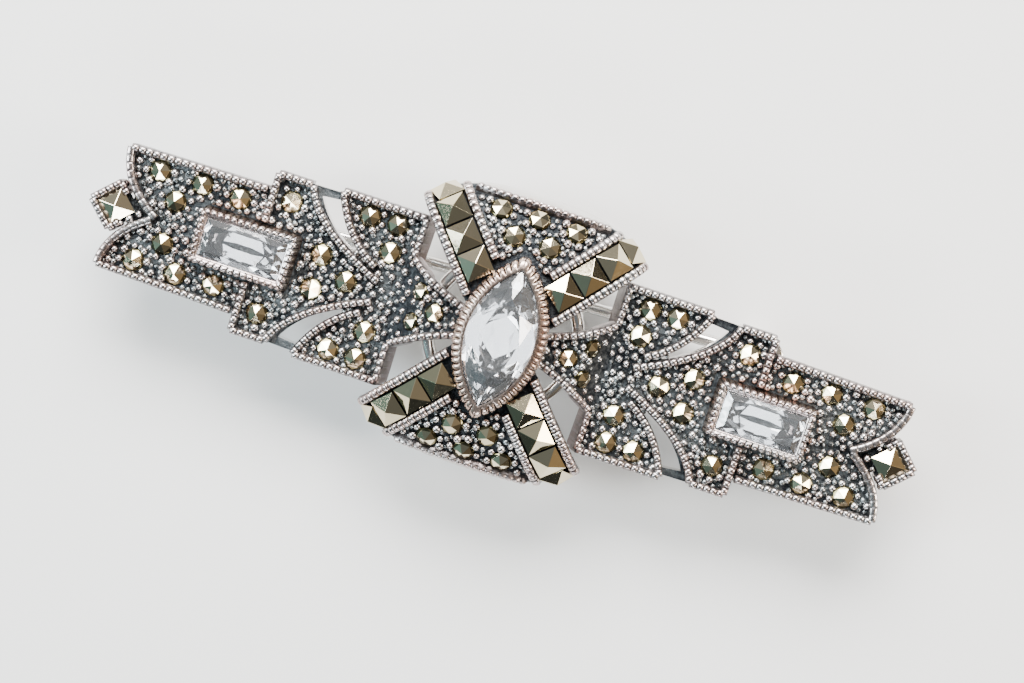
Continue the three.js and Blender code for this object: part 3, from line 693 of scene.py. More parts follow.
def makeBow(edgeName, edgeSign):
    shape = Shape()
    edgeOut = outerRail - arm["rail"] / 2
    columns = panel["steps"]
    thin = 1 - bow["wall"] / bow["reach"]
    outer, inner = [], []
    for size in bowSizes(panel["start"], bow["reach"] * bow["rim"], panel["steps"]):
        left, right = armLine(size, edgeOut, -1, edgeSign), armLine(size, edgeOut, 1, edgeSign)
        a, b = math.atan2(left.y, left.x), math.atan2(right.y, right.x)
        row = []
        for j in range(columns + 1):
            angle = a + (b - a) * j / columns
            x, y = math.cos(angle), math.sin(angle)
            scale = size / cushion(x, y)
            row.append(Vector((x * scale, y * scale)))
        outer.append([bowSurface(p.x, p.y, panel["sunk"] * (1 - wallShare(p.x, p.y)))[0] for p in row])
        height = bowSurface(size, 0)[0].z - bow["base"]
        low = up * (bow["base"] + height * (1 - bow["wall"] / bow["height"]))
        inner.append([Vector((p.x * thin, p.y * thin, 0)) + low for p in row])
    shape.grid(outer, 0.1, groundFinish)
    for i, face in enumerate(shape.faces):
        middle = sum((shape.points[k] for k in face), Vector()) / len(face)
        if wallShare(middle.x, middle.y) > 0.6:
            shape.finish[i] = polishFinish
            for k in face:
                shape.rise[k] = 0.95
    shape.grid(inner, 0.75, polishFinish)
    for column in (0, columns):
        shape.grid([[a[column], b[column]] for a, b in zip(outer, inner)], 0.6, polishFinish)
    for end in (0, -1):
        shape.grid([outer[end], inner[end]], 0.7, polishFinish)

    # ribbed rails beside the channels, and the straight bead row that closes the panel
    for sideSign in (-1, 1):
        for offset, start in ((innerRail, arm["innerStart"]), (outerRail, arm["outerStart"])):
            path = [armLine(size, offset, sideSign, edgeSign) for size in bowSizes(start, arm["railEnd"], 60)]
            path = [p for p in path if abs(p.x) > marquiseHalfWidth(p.y, 0.2)]
            ribbedRail(shape, path, bowSurface, armRail, arm["railDepth"])
    rowY = edgeSign * panel["y"]
    ribbedRail(shape, line((-panel["rowEnd"], rowY), (panel["rowEnd"], rowY), 60), bowSurface, milgrain)
    standIn("bow_" + edgeName, shape, silver, "oxidised_silver")

    # grains between the stones of the panel
    grains = Shape()
    stones = [(x, edgeSign * y, roundCut["radius"]) for x, y, turn in bowRounds]

    def inPanel(x, y):
        if y * edgeSign < 5.0 or abs(y) > panel["y"] - 0.4:
            return False
        beside = armX * abs(y) - armY * abs(x)
        return beside > innerRail + 0.48 and abs(x) > marquiseHalfWidth(y, 0.95)
    box = [(-7, edgeSign * 5), (7, edgeSign * 10)]
    scatterGrains(grains, inPanel, box, stones, [], bowSurface, panel["sunk"], tries=5000)
    makePiece("bow" + edgeName.capitalize() + "Grains", grains, granules, "oxidised_silver")

    apex = roundCut["lowApex"] if edgeSign > 0 else roundCut["apex"]
    for i, (x, y, turn) in enumerate(bowRounds):
        point, normal = bowSurface(x, edgeSign * y, roundCut["bowSeat"])
        stone = placed(roseShape(turn=math.radians(turn), apex=apex), point, normal, Vector((1, 0, 0)))
        setMarcasite(edgeName + "_bow_marcasite_" + str(i + 1), stone, dice.uniform(0, 0.7))


def makeArmStones():
    for sideName, sideSign in sides.items():
        for edgeName, edgeSign in edges.items():
            for i, (x, y) in enumerate(armStations()):
                sink = arm["sink"] if i < arm["stones"] - 1 else arm["lastSink"]
                point, normal = bowSurface(sideSign * x, edgeSign * y, sink)
                along = Vector((sideSign * armX, edgeSign * armY, 0))
                stone = placed(pyramidShape(), point, normal, along)
                node = "_".join([edgeName, sideName, "arm_marcasite", str(i + 1)])
                setMarcasite(node, stone, dice.uniform(0, 0.6))


for edgeName, edgeSign in edges.items():
    makeBow(edgeName, edgeSign)
makeArmStones()
print("bow made")


wing = {
    "ground": -0.45, "back": -1.5, "notchX": 25.15, "tailX": 28.2, "tailY": 4.4, "tailBulge": (28.15, 1.7),
    "stepX": 18.1, "endY": 4.6, "stepY": 5.85, "fanY": 6.1, "innerX": 7.1, "rim": 0.22,
    "leafTip": (10.3, 1.58), "leafStep": (15.0, 5.9), "leafStepBulge": (14.0, 3.0),
    "leafFan": (13.6, 5.9), "leafFanBulge": (12.4, 3.6), "leafTop": 5.35,
    "outerDepth": 1.45, "innerDepth": 0.55,
}
wingRounds = [(25.77, 3.22), (22.72, 3.24), (24.17, 1.53), (19.96, 3.14), (16.53, 4.03), (13.48, 1.23)]
fanRounds = [(11.1, 4.83), (9.11, 4.85), (9.05, 2.88)]
middleRound = (11.33, 0)
spearStones = {"scale": 0.86, "slope": (6.42, 1.09), "flat": (4.82, 0)}
baguetteBox = {"x": 18.5, "halfX": 3.7, "halfY": 2.25}
leafClear = ((0.4, 0), (-0.4, 0), (0, 0.4), (0, -0.4))     # a grain's room beside a leaf opening
outerRails = ("endTop", "tail", "step", "stepTop", "fanTop", "fanInner")

# where the middles of the outer rails meet
rim = wing["rim"]
tipCorner = (wing["tailX"] - 0.12, wing["tailY"] - rim)
stepCorner = (wing["stepX"] - rim, wing["stepY"] - rim)
fanCorner = (wing["innerX"] + rim, wing["fanY"] - rim)


def tailCurve(count=24):
    bulge = (wing["tailBulge"][0] - rim, wing["tailBulge"][1])
    return bezier((wing["notchX"] - 0.05, 0.0), bulge, tipCorner, count)


# rail centre lines of one quarter, x and y above zero
def wingRails():
    stepX, stepY = stepCorner
    fanX, fanY = fanCorner
    return {
        "endTop": line(tipCorner, (wing["stepX"] + 0.2, wing["endY"] - rim), 12),
        "tail": tailCurve(),
        "step": line((stepX, 2.15), stepCorner, 8),
        "stepTop": line(stepCorner, (15.5, stepY), 6),
        "leafStep": bezier((9.2, 0.7), (14.6, 3.0), (15.42, stepY)),
        "leafFan": bezier((9.7, 1.62), (12.3, 3.0), (13.3, fanY)),
        "fanTop": line((13.3, fanY), fanCorner, 8),
        "fanInner": line(fanCorner, (fanX + 0.02, spear["rootY"]), 6),
        "spear": bezier((fanX, spear["rootY"]), (5.6, 1.75), (2.9, 0.95)),
    }


# the plate's own edge, under the middles of the outer rails
def outline():
    corners = ((stepCorner[0], wing["endY"] - rim), stepCorner, fanCorner, (fanCorner[0], spear["rootY"]))
    half = tailCurve(14) + [Vector(p) for p in corners]
    return half + [Vector((p.x, -p.y)) for p in reversed(half) if p.y > 0]


def leafOpening():
    stepSide = bezier(wing["leafTip"], wing["leafStepBulge"], wing["leafStep"], 14)
    fanSide = bezier(wing["leafFan"], wing["leafFanBulge"], wing["leafTip"], 14)
    return stepSide + fanSide[:-1]


# half the spear's width, so far out from the bow's middle
def spearEdge(x):
    t = max(0.0, (spear["rootX"] - x) / (spear["rootX"] - spear["tipX"]))
    return spear["rootY"] + (spear["tipY"] - spear["rootY"]) * (1 - (1 - t) ** 1.35)


# a flat plate with holes, its edges, and its underside
def plate(shape, loops, top, bottom):
    flat = [[Vector((p.x, p.y, 0)) for p in loop] for loop in loops]
    points = [p for loop in flat for p in loop]
    triangles = [tuple(t) for t in tessellate_polygon(flat)]
    shape.add([p + up * top for p in points], triangles, 0.12, groundFinish)
    shape.add([p + up * bottom for p in points], triangles, 0.7, polishFinish)
    for loop in flat:
        shape.grid([[p + up * top for p in loop], [p + up * bottom for p in loop]], 0.65, polishFinish,
                   closeColumns=True)


def mirror(points, sx, sy):
    return [Vector((p.x * sx, p.y * sy)) for p in points]


def makeWing(sideName, sign):
    w = wing
    shape = Shape()
    loops = [mirror(outline(), sign, 1)]
    for edgeSign in (1, -1):
        opening = [p for p in leafOpening() if p.y <= w["leafTop"]]
        loops.append(mirror(opening, sign, edgeSign))
    plate(shape, loops, w["ground"], w["back"])

    allRails = []
    for edgeSign in (1, -1):
        for name, path in wingRails().items():
            here = mirror(path, sign, edgeSign)
            if name == "tail" and edgeSign < 0:
                here = here[1:]
            style = wornRail if name == "tail" else milgrain
            depth = w["outerDepth"] if name in outerRails else w["innerDepth"]
            ribbedRail(shape, here, wingSurface, style, depth)
            allRails += walk(here, 0.25)

    # the spear: a sunk floor between its two rails, climbing to the marquise
    start, steps = spear["rootX"] + 0.5, 26
    rows, under = [], []
    for i in range(steps + 1):
        x = start - (start - spear["tipX"]) * i / steps
        edge = spearEdge(x)
        height = wingSurface(x, 0)[0].z
        low = max(w["back"] + 0.04, height - 1.5)
        rows.append([Vector((sign * x, edge * j / 6, height + w["ground"] * 0.8)) for j in range(-6, 7)])
        under.append([Vector((sign * x, edge * j / 6, low)) for j in range(-6, 7)])
    shape.grid(rows, 0.12, groundFinish)
    shape.grid(under, 0.7, polishFinish)
    for column in (0, -1):
        shape.grid([[a[column], b[column]] for a, b in zip(rows, under)], 0.5, polishFinish)
    for end in (-1, 0):
        shape.grid([rows[end], under[end]], 0.5, polishFinish)
    standIn(sideName + "_wing", shape, silver, "oxidised_silver")

    # round stones, then grains wherever there is ground left
    stones = []
    for edgeName, edgeSign in edges.items():
        fan = sideName + "_" + edgeName + "_fan_marcasite_"
        stones += [(x, edgeSign * y, 1.0, fan + str(i + 1)) for i, (x, y) in enumerate(fanRounds)]
        stones += [(x, edgeSign * y, 1.0, None) for x, y in wingRounds]
        x, y = spearStones["slope"]
        stones.append((x, edgeSign * y, spearStones["scale"], None))
    stones.append((*middleRound, 1.0, None))
    stones.append((*spearStones["flat"], spearStones["scale"], None))
    rest = Shape()
    for x, y, scale, node in stones:
        point, normal = wingSurface(sign * x, y)
        seat = roundCut["wingSeat"] if node or x > spear["rootX"] else roundCut["spearSeat"]
        cut = roseShape(scale, dice.uniform(0, 1))
        stone = placed(cut, point - normal * seat, normal, Vector((1, 0, 0)))
        if node:
            setMarcasite(node, stone, dice.uniform(0, 0.7))
        else:
            rest.add(stone.points, stone.faces, stone.rise)
    makePiece(sideName + "WingMarcasites", rest, [marcasite], "marcasite", sharp=None, tone=0.3)

    grains = Shape()
    body = insidePolygon(mirror(outline(), sign, 1))
    leaves = [insidePolygon(mirror(leafOpening(), sign, s)) for s in (1, -1)]

    def onWing(x, y):
        if abs(abs(x) - baguetteBox["x"]) < baguetteBox["halfX"] and abs(y) < baguetteBox["halfY"]:
            return False
        if abs(x) < spear["rootX"]:
            return abs(x) > 3.0 and abs(y) < spearEdge(abs(x)) - 0.3
        onBridge = abs(y) > w["leafTop"] - 0.25 and 13.0 < abs(x) < 15.7
        overHole = any(leaf(x + a, y + b) for leaf in leaves for a, b in leafClear)
        return body(x, y) and not onBridge and not overHole
    spots = [(sign * x, y, roundCut["radius"] * scale) for x, y, scale, node in stones]
    xs = sorted((sign * 3.0, sign * 28.5))
    scatterGrains(grains, onWing, [(xs[0], -6), (xs[1], 6)], spots, allRails, wingSurface, -w["ground"])
    makePiece(sideName + "WingGrains", grains, granules, "oxidised_silver")


for sideName, sideSign in sides.items():
    makeWing(sideName, sideSign)
print("wings made")


endBox = {"x": 27.93, "half": 1.47, "rim": 0.24, "stone": 0.95, "back": -1.48, "shortDepth": 1.2,
          "neckTop": -0.6, "neckBack": -1.46}


def makeEnd(sideName, sign):
    shape = Shape()
    e = endBox
    inner = (e["half"] - e["rim"]) * math.sqrt(2)
    corners = [Vector((e["x"] + inner, 0)), Vector((e["x"], inner)), Vector((e["x"] - inner, 0)),
               Vector((e["x"], -inner))]
    box = mirror(corners, sign, 1)
    plate(shape, [box], wing["ground"], e["back"])
    for sy in (1, -1):
        turn = (e["x"] + 0.1, sy * (inner - 0.1))
        side = line((e["x"] + inner, 0), turn, 6)
        ribbedRail(shape, mirror(side, sign, 1), wingSurface, milgrain, wing["outerDepth"])
        short = line(turn, (e["x"] - 0.55, sy * (inner - 0.75)), 3)
        ribbedRail(shape, mirror(short, sign, 1), wingSurface, milgrain, e["shortDepth"])
    neck = [Vector((sign * x, y)) for x, y in ((25.0, -0.5), (27.0, -1.5), (27.0, 1.5), (25.0, 0.5))]
    plate(shape, [neck], e["neckTop"], e["neckBack"])
    standIn(sideName + "_end_setting", shape, silver, "oxidised_silver")
    grains = Shape()
    body = insidePolygon(box)
    clear = (e["stone"] + 0.22) * math.sqrt(2)

    def nearNeck(x, y):
        return body(x, y) and abs(abs(x) - e["x"]) + abs(y) > clear and abs(x) < e["x"]
    xs = sorted((sign * 25.8, sign * 28.2))
    scatterGrains(grains, nearNeck, [(xs[0], -2), (xs[1], 2)], [], [], wingSurface, 0.4, tries=400)
    makePiece(sideName + "EndGrains", grains, granules, "oxidised_silver")
    stone = placed(pyramidShape(e["stone"]), Vector((sign * e["x"], 0, -0.06)), up, Vector((1, 1, 0)))
    setMarcasite(sideName + "_end_marcasite", stone, 0.1)


for sideName, sideSign in sides.items():
    makeEnd(sideName, sideSign)


# a marquise line grown outwards, whose points stay square to the first line except at the tips
def marquiseLoop(grow, count):
    w, l = marquisePlan["halfWidth"], marquisePlan["halfLength"]
    radius = (l * l + w * w) / (2 * w)
    own = math.asin(l / radius)
    sweep = math.acos((radius - w) / (radius + grow))
    points = []
    for sign in (1, -1):
        for i in range(count // 2):
            share = 2 * i / (count // 2) - 1
            angle = own * share + (sweep - own) * math.copysign(abs(share) ** 7, share)
            points.append(Vector((sign * ((radius + grow) * math.cos(angle) - radius + w),
                                  sign * (radius + grow) * math.sin(angle))))
    return points


# a bezel: each profile step is (grow, height, ribDepth, rise) out from a plan line. The last strips are
# the polished seat behind the stone, and faces above splitZ are beads
def ribbedBezel(shape, loopAt, profile, ribs, square, splitZ=None):
    count = ribs * perRib
    rows, rise = [], []
    for grow, z, depth, level in profile:
        loop = loopAt(grow, count)
        row, values = [], []
        for i, (p, way) in enumerate(zip(loop, directions(loop, True))):
            phase = 2 * (i % perRib) / perRib - 1
            swell = max(0.0, 1 - phase * phase) ** square
            out = Vector((way.y, -way.x))
            row.append(Vector((*(p - out * depth * (1 - swell)), z - depth * 0.6 * (1 - swell))))
            values.append(level * (0.05 + 0.95 * swell) if depth > 0 else level)
        rows.append(row)
        rise.append(values)
    shape.grid(rows, rise, 0, closeRows=True, closeColumns=True)
    for i in range(count * (len(profile) - 3), len(shape.faces)):
        shape.finish[i] = 1
    if splitZ is not None:
        for i, face in enumerate(shape.faces):
            if shape.finish[i] == 0 and sum(shape.points[k].z for k in face) > splitZ * len(face):
                shape.finish[i] = 2


marquiseBezel = {
    "ribs": 56, "square": 0.3,
    # out from the stone's line, height, how deep the ribs cut, how worn it is
    "profile": [(-0.55, -0.15, 0, 0.3), (-0.2, -0.15, 0, 0.4), (0.25, 0.9, 0, 0.5), (0.5, 1.5, 0, 0.6),
                (0.62, 2.0, 0.1, 0.7), (0.66, 2.35, 0.16, 0.9), (0.64, 2.7, 0.19, 1), (0.56, 2.98, 0.2, 1),
                (0.4, 3.16, 0.2, 1), (0.22, 3.24, 0.16, 1), (0.1, 3.26, 0.03, 0.5), (-0.02, 3.3, 0, 1),
                (-0.12, 3.28, 0, 0.9), (-0.16, 3.16, 0, 0.5), (0.03, 3.02, 0, 1), (0.03, 2.86, 0, 1),
                (-0.8, -0.15, 0, 1)],
}


def makeMarquiseBezel():
    shape = Shape()
    b = marquiseBezel
    ribbedBezel(shape, marquiseLoop, b["profile"], b["ribs"], b["square"])
    standIn("marquise_bezel", shape, [rose, polished], "rose_silver", sharp=50)


marquiseCut = {"girdle": 2.95, "edge": 0.04, "table": 3.95, "tableScale": 0.56, "keel": 0.75, "keelHalf": 1.5,
               "lowScale": 0.48, "points": 32}


def marquiseLine(angle):
    y = math.cos(angle) * marquisePlan["halfLength"]
    x = marquiseHalfWidth(y, 0.0) if abs(y) < marquisePlan["halfLength"] - 1e-6 else 0.0
    return Vector((math.copysign(x, math.sin(angle)), y))


# a brilliant cut: table, stars, mains, halves, girdle and pavilion
def makeMarquiseStone():
    shape = Shape()
    c = marquiseCut
    count = c["points"]
    loop = [marquiseLine(math.tau * i / count) for i in range(count)]

    def ringPoints(scale, z, first, step):
        picked = [loop[i % count] for i in range(first, first + count, step)]
        return [Vector((p.x * scale, p.y * scale, z)) for p in picked]
    table = ringPoints(c["tableScale"], c["table"], 0, 4)
    starHeight = c["girdle"] + (c["table"] - c["girdle"]) * 0.52
    stars = ringPoints((1 + c["tableScale"]) / 2 + 0.05, starHeight, 2, 4)
    high = ringPoints(1.0, c["girdle"] + c["edge"], 0, 2)
    low = ringPoints(1.0, c["girdle"] - c["edge"], 0, 2)
    deep = c["girdle"] - c["edge"] - (c["girdle"] - c["keel"]) * 0.56
    mains = ringPoints(c["lowScale"], deep, 2, 4)
    keel = [Vector((0, y, c["keel"])) for y in (c["keelHalf"], -c["keelHalf"])]
    points = table + stars + high + low + mains + keel
    n, m = len(table), len(high)
    highStart = 2 * n
    lowStart = highStart + m
    mainStart = lowStart + m
    faces = [tuple(range(n))]
    for i in range(n):
        j, star = (i + 1) % n, n + i
        a, b, c = (highStart + (2 * i + k) % m for k in range(3))
        faces += [(i, j, star), (i, star, a), (star, b, a), (star, c, b), (star, j, c)]
    for i in range(m):
        j = (i + 1) % m
        faces.append((highStart + i, highStart + j, lowStart + j, lowStart + i))
    for i in range(n):
        main, after = mainStart + i, mainStart + (i + 1) % n
        a, b, c = (lowStart + (2 * i + k) % m for k in range(3))
        tips = [mainStart + n + (0 if points[k].y >= 0 else 1) for k in (after, main)]
        faces += [(a, b, main), (b, c, main), (c, after, main)]
        faces.append((main, after, *(tips if tips[0] != tips[1] else tips[:1])))
    shape.add(points, faces, 1.0)
    standIn("marquise_stone", shape, [crystal], "clear_stone", sharp=None)


baguetteStone = {"x": 18.6, "halfX": 2.97, "halfY": 1.47, "girdle": 0.9, "edge": 0.04, "table": 1.38,
                 "tableX": 2.35, "tableY": 0.92, "keel": -0.65, "ribX": 1.15, "ribY": 0.85, "ribDrop": 0.72,
                 "keelLine": ((1.5, 0.12), (0.5, 0.0), (-0.5, 0.0), (-1.5, 0.12))}


# a baguette with a crossed pavilion, so that its facets meet in long triangles
def makeBaguetteStone(sideName, sign):
    b = baguetteStone
    shape = Shape()
    eighths = ((1, 1), (0, 1), (-1, 1), (-1, 0), (-1, -1), (0, -1), (1, -1), (1, 0))

    def ringOf(places, halfX, halfY, z):
        return [Vector((x * halfX, y * halfY, z)) for x, y in places]
    top = ringOf(quarters, b["tableX"], b["tableY"], b["table"])
    high = ringOf(eighths, b["halfX"], b["halfY"], b["girdle"] + b["edge"])
    low = ringOf(eighths, b["halfX"], b["halfY"], b["girdle"] - b["edge"])
    # chevron ridges run from the corners to the keel and from the long sides' middles
    keel = [Vector((x, 0, b["keel"] + lift)) for x, lift in b["keelLine"]]
    ribs = ringOf(quarters, b["ribX"], b["ribY"], b["girdle"] - b["ribDrop"])
    points = top + high + low + keel + ribs
    k, r = 20, 24
    faces = [(0, 1, 2, 3)]
    faces += [(0, 4, 5), (0, 5, 1), (1, 5, 6), (1, 6, 7), (1, 7, 2), (2, 7, 8), (2, 8, 9), (2, 9, 3),
              (3, 9, 10), (3, 10, 11), (3, 11, 0), (0, 11, 4)]
    faces += [(4 + i, 4 + (i + 1) % 8, 12 + (i + 1) % 8, 12 + i) for i in range(8)]
    faces += [(12, 13, r), (13, 14, r + 1), (14, 15, r + 1), (15, 16, r + 2), (16, 17, r + 2),
              (17, 18, r + 3), (18, 19, r + 3), (19, 12, r)]
    faces += [(13, k + 1, r), (17, r + 3, k + 1), (17, k + 1, k + 2), (17, k + 2, r + 2), (r, k + 1, k),
              (r + 1, k + 3, k + 2), (r + 2, k + 2, k + 3), (r + 3, k, k + 1), (19, r, k), (19, k, r + 3),
              (15, r + 1, k + 3), (15, k + 3, r + 2), (13, r + 1, k + 2), (13, k + 2, k + 1)]
    shape.add([Vector((sign * b["x"] + p.x, p.y, p.z)) for p in points], faces, 1.0)
    standIn(sideName + "_baguette_stone", shape, [crystal], "clear_stone", sharp=None)


def rectangleLoop(halfX, halfY, radius, count):
    path = []
    for k, (sx, sy) in enumerate(quarters):
        centre = Vector((sx * (halfX - radius), sy * (halfY - radius)))
        angles = [math.pi / 2 * k + math.pi / 2 * i / 6 for i in range(7)]
        path += [centre + Vector((math.cos(a), math.sin(a))) * radius for a in angles]
    return walk(path + path[:1], 1.0, count=count)[:-1]


baguetteBezel = {
    "ribs": 42, "square": 0.45, "length": 3.0, "width": 1.5, "silverAbove": 0.78,
    "profile": [(0.55, -0.4, 0, 0.2), (0.52, -0.3, 0.06, 0.45), (0.45, 0.2, 0.08, 0.85),
                (0.38, 0.7, 0.08, 0.9), (0.4, 0.84, 0.08, 0.5), (0.44, 0.96, 0.15, 0.9), (0.39, 1.12, 0.2, 1),
                (0.27, 1.22, 0.22, 1), (0.12, 1.21, 0.2, 1), (0.03, 1.12, 0.05, 0.5), (-0.04, 1.12, 0, 0.9),
                (-0.12, 1.08, 0, 0.9), (-0.14, 1.0, 0, 0.5), (0.02, 0.97, 0, 1), (0.02, 0.8, 0, 1),
                (-0.3, -0.4, 0, 1)],
}


def makeBaguetteBezel(sideName, sign):
    shape = Shape()
    b = baguetteBezel

    def loopAt(grow, count):
        loop = rectangleLoop(b["length"] + grow, b["width"] + grow, max(0.06, 0.12 + grow * 0.4), count)
        return [Vector((p.x + sign * baguetteStone["x"], p.y)) for p in loop]
    ribbedBezel(shape, loopAt, b["profile"], b["ribs"], b["square"], b["silverAbove"])
    standIn(sideName + "_baguette_bezel", shape, [rose, polished, bead], "rose_silver", sharp=50)


makeMarquiseBezel()
makeMarquiseStone()
for sideName, sideSign in sides.items():
    makeBaguetteBezel(sideName, sideSign)
    makeBaguetteStone(sideName, sideSign)
print("bezels and clear stones made")


ring = {"radius": 5.2, "wire": 0.48, "z": -0.85}
work = {"y": 3.14, "slant": 2.7, "z": -4.2, "hinge": -19.0, "catch": 16.8, "patchTop": -1.5, "patchLow": -2.0}


def makeRing():
    shape = Shape()
    rows = []
    for i in range(96):
        angle = math.tau * i / 96
        row = []
        for j in range(20):
            t = math.tau * j / 20
            reach = ring["radius"] + ring["wire"] * math.cos(t)
            z = ring["z"] + ring["wire"] * math.sin(t)
            row.append(Vector((reach * math.cos(angle), reach * math.sin(angle), z)))
        rows.append(row)
    shape.grid(rows, 0.95, closeRows=True, closeColumns=True)
    standIn("gallery_ring", shape, [polished], "polished_silver")


makeRing()


# a place in the pin's own frame: u along the pin, v across it, z from its middle
def workPoint(u, v, z):
    turn = math.radians(work["slant"])
    return Vector((u * math.cos(turn) - v * math.sin(turn),
                   work["y"] + u * math.sin(turn) + v * math.cos(turn), work["z"] + z))


# a turned shape about the pin's line, or across it at the hinge: profile steps are (place, radius)
def turnedWork(shape, profile, across=False, loop=False, count=36):
    rows = []
    for place, radius in profile:
        ring = [(radius * math.cos(math.tau * j / count), radius * math.sin(math.tau * j / count))
                for j in range(count)]
        rows.append([workPoint(work["hinge"] + a, place, b) if across else workPoint(place, a, b)
                     for a, b in ring])
    shape.grid(rows, 0.95, closeRows=loop, closeColumns=True, caps=not loop)


# a slab with softened edges: an outline and a thickness, put in place by a function
def softSlab(shape, outline, low, high, soft, place):
    middle = sum(outline, Vector((0, 0))) / len(outline)
    reach = max((p - middle).length for p in outline)
    rows = []
    for depth, shrink in ((low, soft), (low + soft * 0.3, soft * 0.3), (low + soft, 0), (high - soft, 0),
                          (high - soft * 0.3, soft * 0.3), (high, soft)):
        ring = [middle + (p - middle) * (1 - shrink / reach) for p in outline]
        rows.append([place(p.x, p.y, depth) for p in ring])
    shape.grid(rows, 0.9, closeColumns=True, caps=True)


def arcPoints(radius, first, last, count, centre=(0, 0)):
    angles = [math.radians(first + (last - first) * i / count) for i in range(count + 1)]
    return [Vector((centre[0] + radius * math.cos(a), centre[1] + radius * math.sin(a))) for a in angles]


def makePin():
    shape = Shape()
    hinge = work["hinge"]
    stem = [(hinge + 0.6, 0.3), (hinge + 0.65, 0.45), (hinge + 4, 0.45), (0, 0.45), (16.0, 0.45),
            (16.7, 0.445), (17.3, 0.4), (17.9, 0.32), (18.5, 0.22), (19.0, 0.11), (19.25, 0.04),
            (19.3, 0.01)]
    turnedWork(shape, stem, count=28)
    eye = [(-0.475, 0.42), (-0.475, 0.86), (-0.44, 0.92), (-0.38, 0.95), (0.38, 0.95), (0.44, 0.92),
           (0.475, 0.86), (0.475, 0.42)]
    turnedWork(shape, eye, across=True, loop=True)
    standIn("pin_stem", shape, [polished], "polished_silver", body="pin")


def makeJoint():
    hinge = work["hinge"]
    bracket = Shape()
    base = [Vector((hinge + a * 1.4, b * 1.17)) for a, b in quarters]
    under = work["patchLow"] - work["z"]
    softSlab(bracket, base, under - 0.45, under, 0.08, workPoint)
    ear = arcPoints(1.1, 180, 360, 24) + [Vector((1.1, under - 0.25)), Vector((-1.1, under - 0.25))]
    for sign in (-1, 1):
        softSlab(bracket, ear, sign * 0.875 - 0.3, sign * 0.875 + 0.3, 0.07,
                 lambda a, b, c: workPoint(hinge + a, c, b))
    standIn("joint_bracket", bracket, [polished], "polished_silver")
    rivet = Shape()
    head = [(1.47, 0.12), (1.46, 0.3), (1.41, 0.46), (1.33, 0.57), (1.24, 0.62), (1.225, 0.6), (1.225, 0.36)]
    turnedWork(rivet, [(-v, r) for v, r in head] + list(reversed(head)), across=True)
    standIn("joint_rivet", rivet, [polished], "polished_silver")


def makePatch(node, u):
    shape = Shape()
    turns = [math.tau * i / 56 for i in range(56)]
    oval = [Vector((2.2 * math.cos(t), 1.9 * math.sin(t))) for t in turns]
    softSlab(shape, oval, work["patchLow"] - work["z"], work["patchTop"] - work["z"], 0.14,
             lambda a, b, c: workPoint(u + a, b, c))
    standIn(node, shape, [polished], "polished_silver")


# a C-shaped tube about the catch's line, between two angles measured from v towards z
def splitTube(shape, inner, outer, first, last, low, high, soft=0.06):
    rows = []
    for u, shrink in ((low, soft), (low + soft, 0), (high - soft, 0), (high, soft)):
        section = arcPoints(outer - shrink, first, last, 40) + arcPoints(inner + shrink, last, first, 40)
        rows.append([workPoint(work["catch"] + u, p.x, p.y) for p in section])
    shape.grid(rows, 0.92, closeColumns=True, caps=True)


# radii and half length of the tubes; the lever's aim is down and across, away from the pin's slant
catch = {"inner": 1.28, "outer": 1.75, "half": 1.2, "sleeveInner": 0.8, "sleeveOuter": 1.21, "slot": 0.36,
         "lever": 0.29, "leverEnd": 2.0, "leverRoot": 0.95, "leverAim": 215}


def makeCatch():
    c = catch
    housing = Shape()
    for low, high, last, soft in ((-c["half"], -c["slot"], 248, 0.06), (c["slot"], c["half"], 248, 0.06),
                                  (-0.42, 0.42, 107, 0.0)):
        splitTube(housing, c["inner"], c["outer"], -68, last, low, high, soft)
    neck = [Vector((a * 1.15, b * 0.72)) for a, b in quarters]
    softSlab(housing, neck, 1.45, work["patchLow"] - work["z"] + 0.02, 0.03,
             lambda a, b, c: workPoint(work["catch"] + a, b, c))
    standIn("catch_housing", housing, [polished], "polished_silver")
    sleeve = Shape()
    splitTube(sleeve, c["sleeveInner"], c["sleeveOuter"], -60, 240, -c["half"], c["half"], 0.05)
    half, end, root = c["lever"], c["leverEnd"], c["leverRoot"]
    blade = [Vector((-half, root)), Vector((-half, end))] + arcPoints(half, 180, 0, 12, (0, end))
    blade += [Vector((half, end)), Vector((half, root))]
    aim = math.radians(c["leverAim"])

    def onBlade(a, reach, thick):
        return workPoint(work["catch"] + a, reach * math.cos(aim) - thick * math.sin(aim),
                         reach * math.sin(aim) + thick * math.cos(aim))
    softSlab(sleeve, blade, -0.19, 0.19, 0.06, onBlade)
    for i in range(5):
        reach = 1.86 + i * 0.09
        rib = [Vector((a * 0.24, reach + b * 0.025)) for a, b in quarters]
        softSlab(sleeve, rib, -0.23, 0.0, 0.012, onBlade)
    standIn("catch_sleeve", sleeve, [polished], "polished_silver", body="catch")


makePin()
makeJoint()
makePatch("joint_patch", work["hinge"])
makePatch("catch_patch", work["catch"])
makeCatch()
print("pin work made")


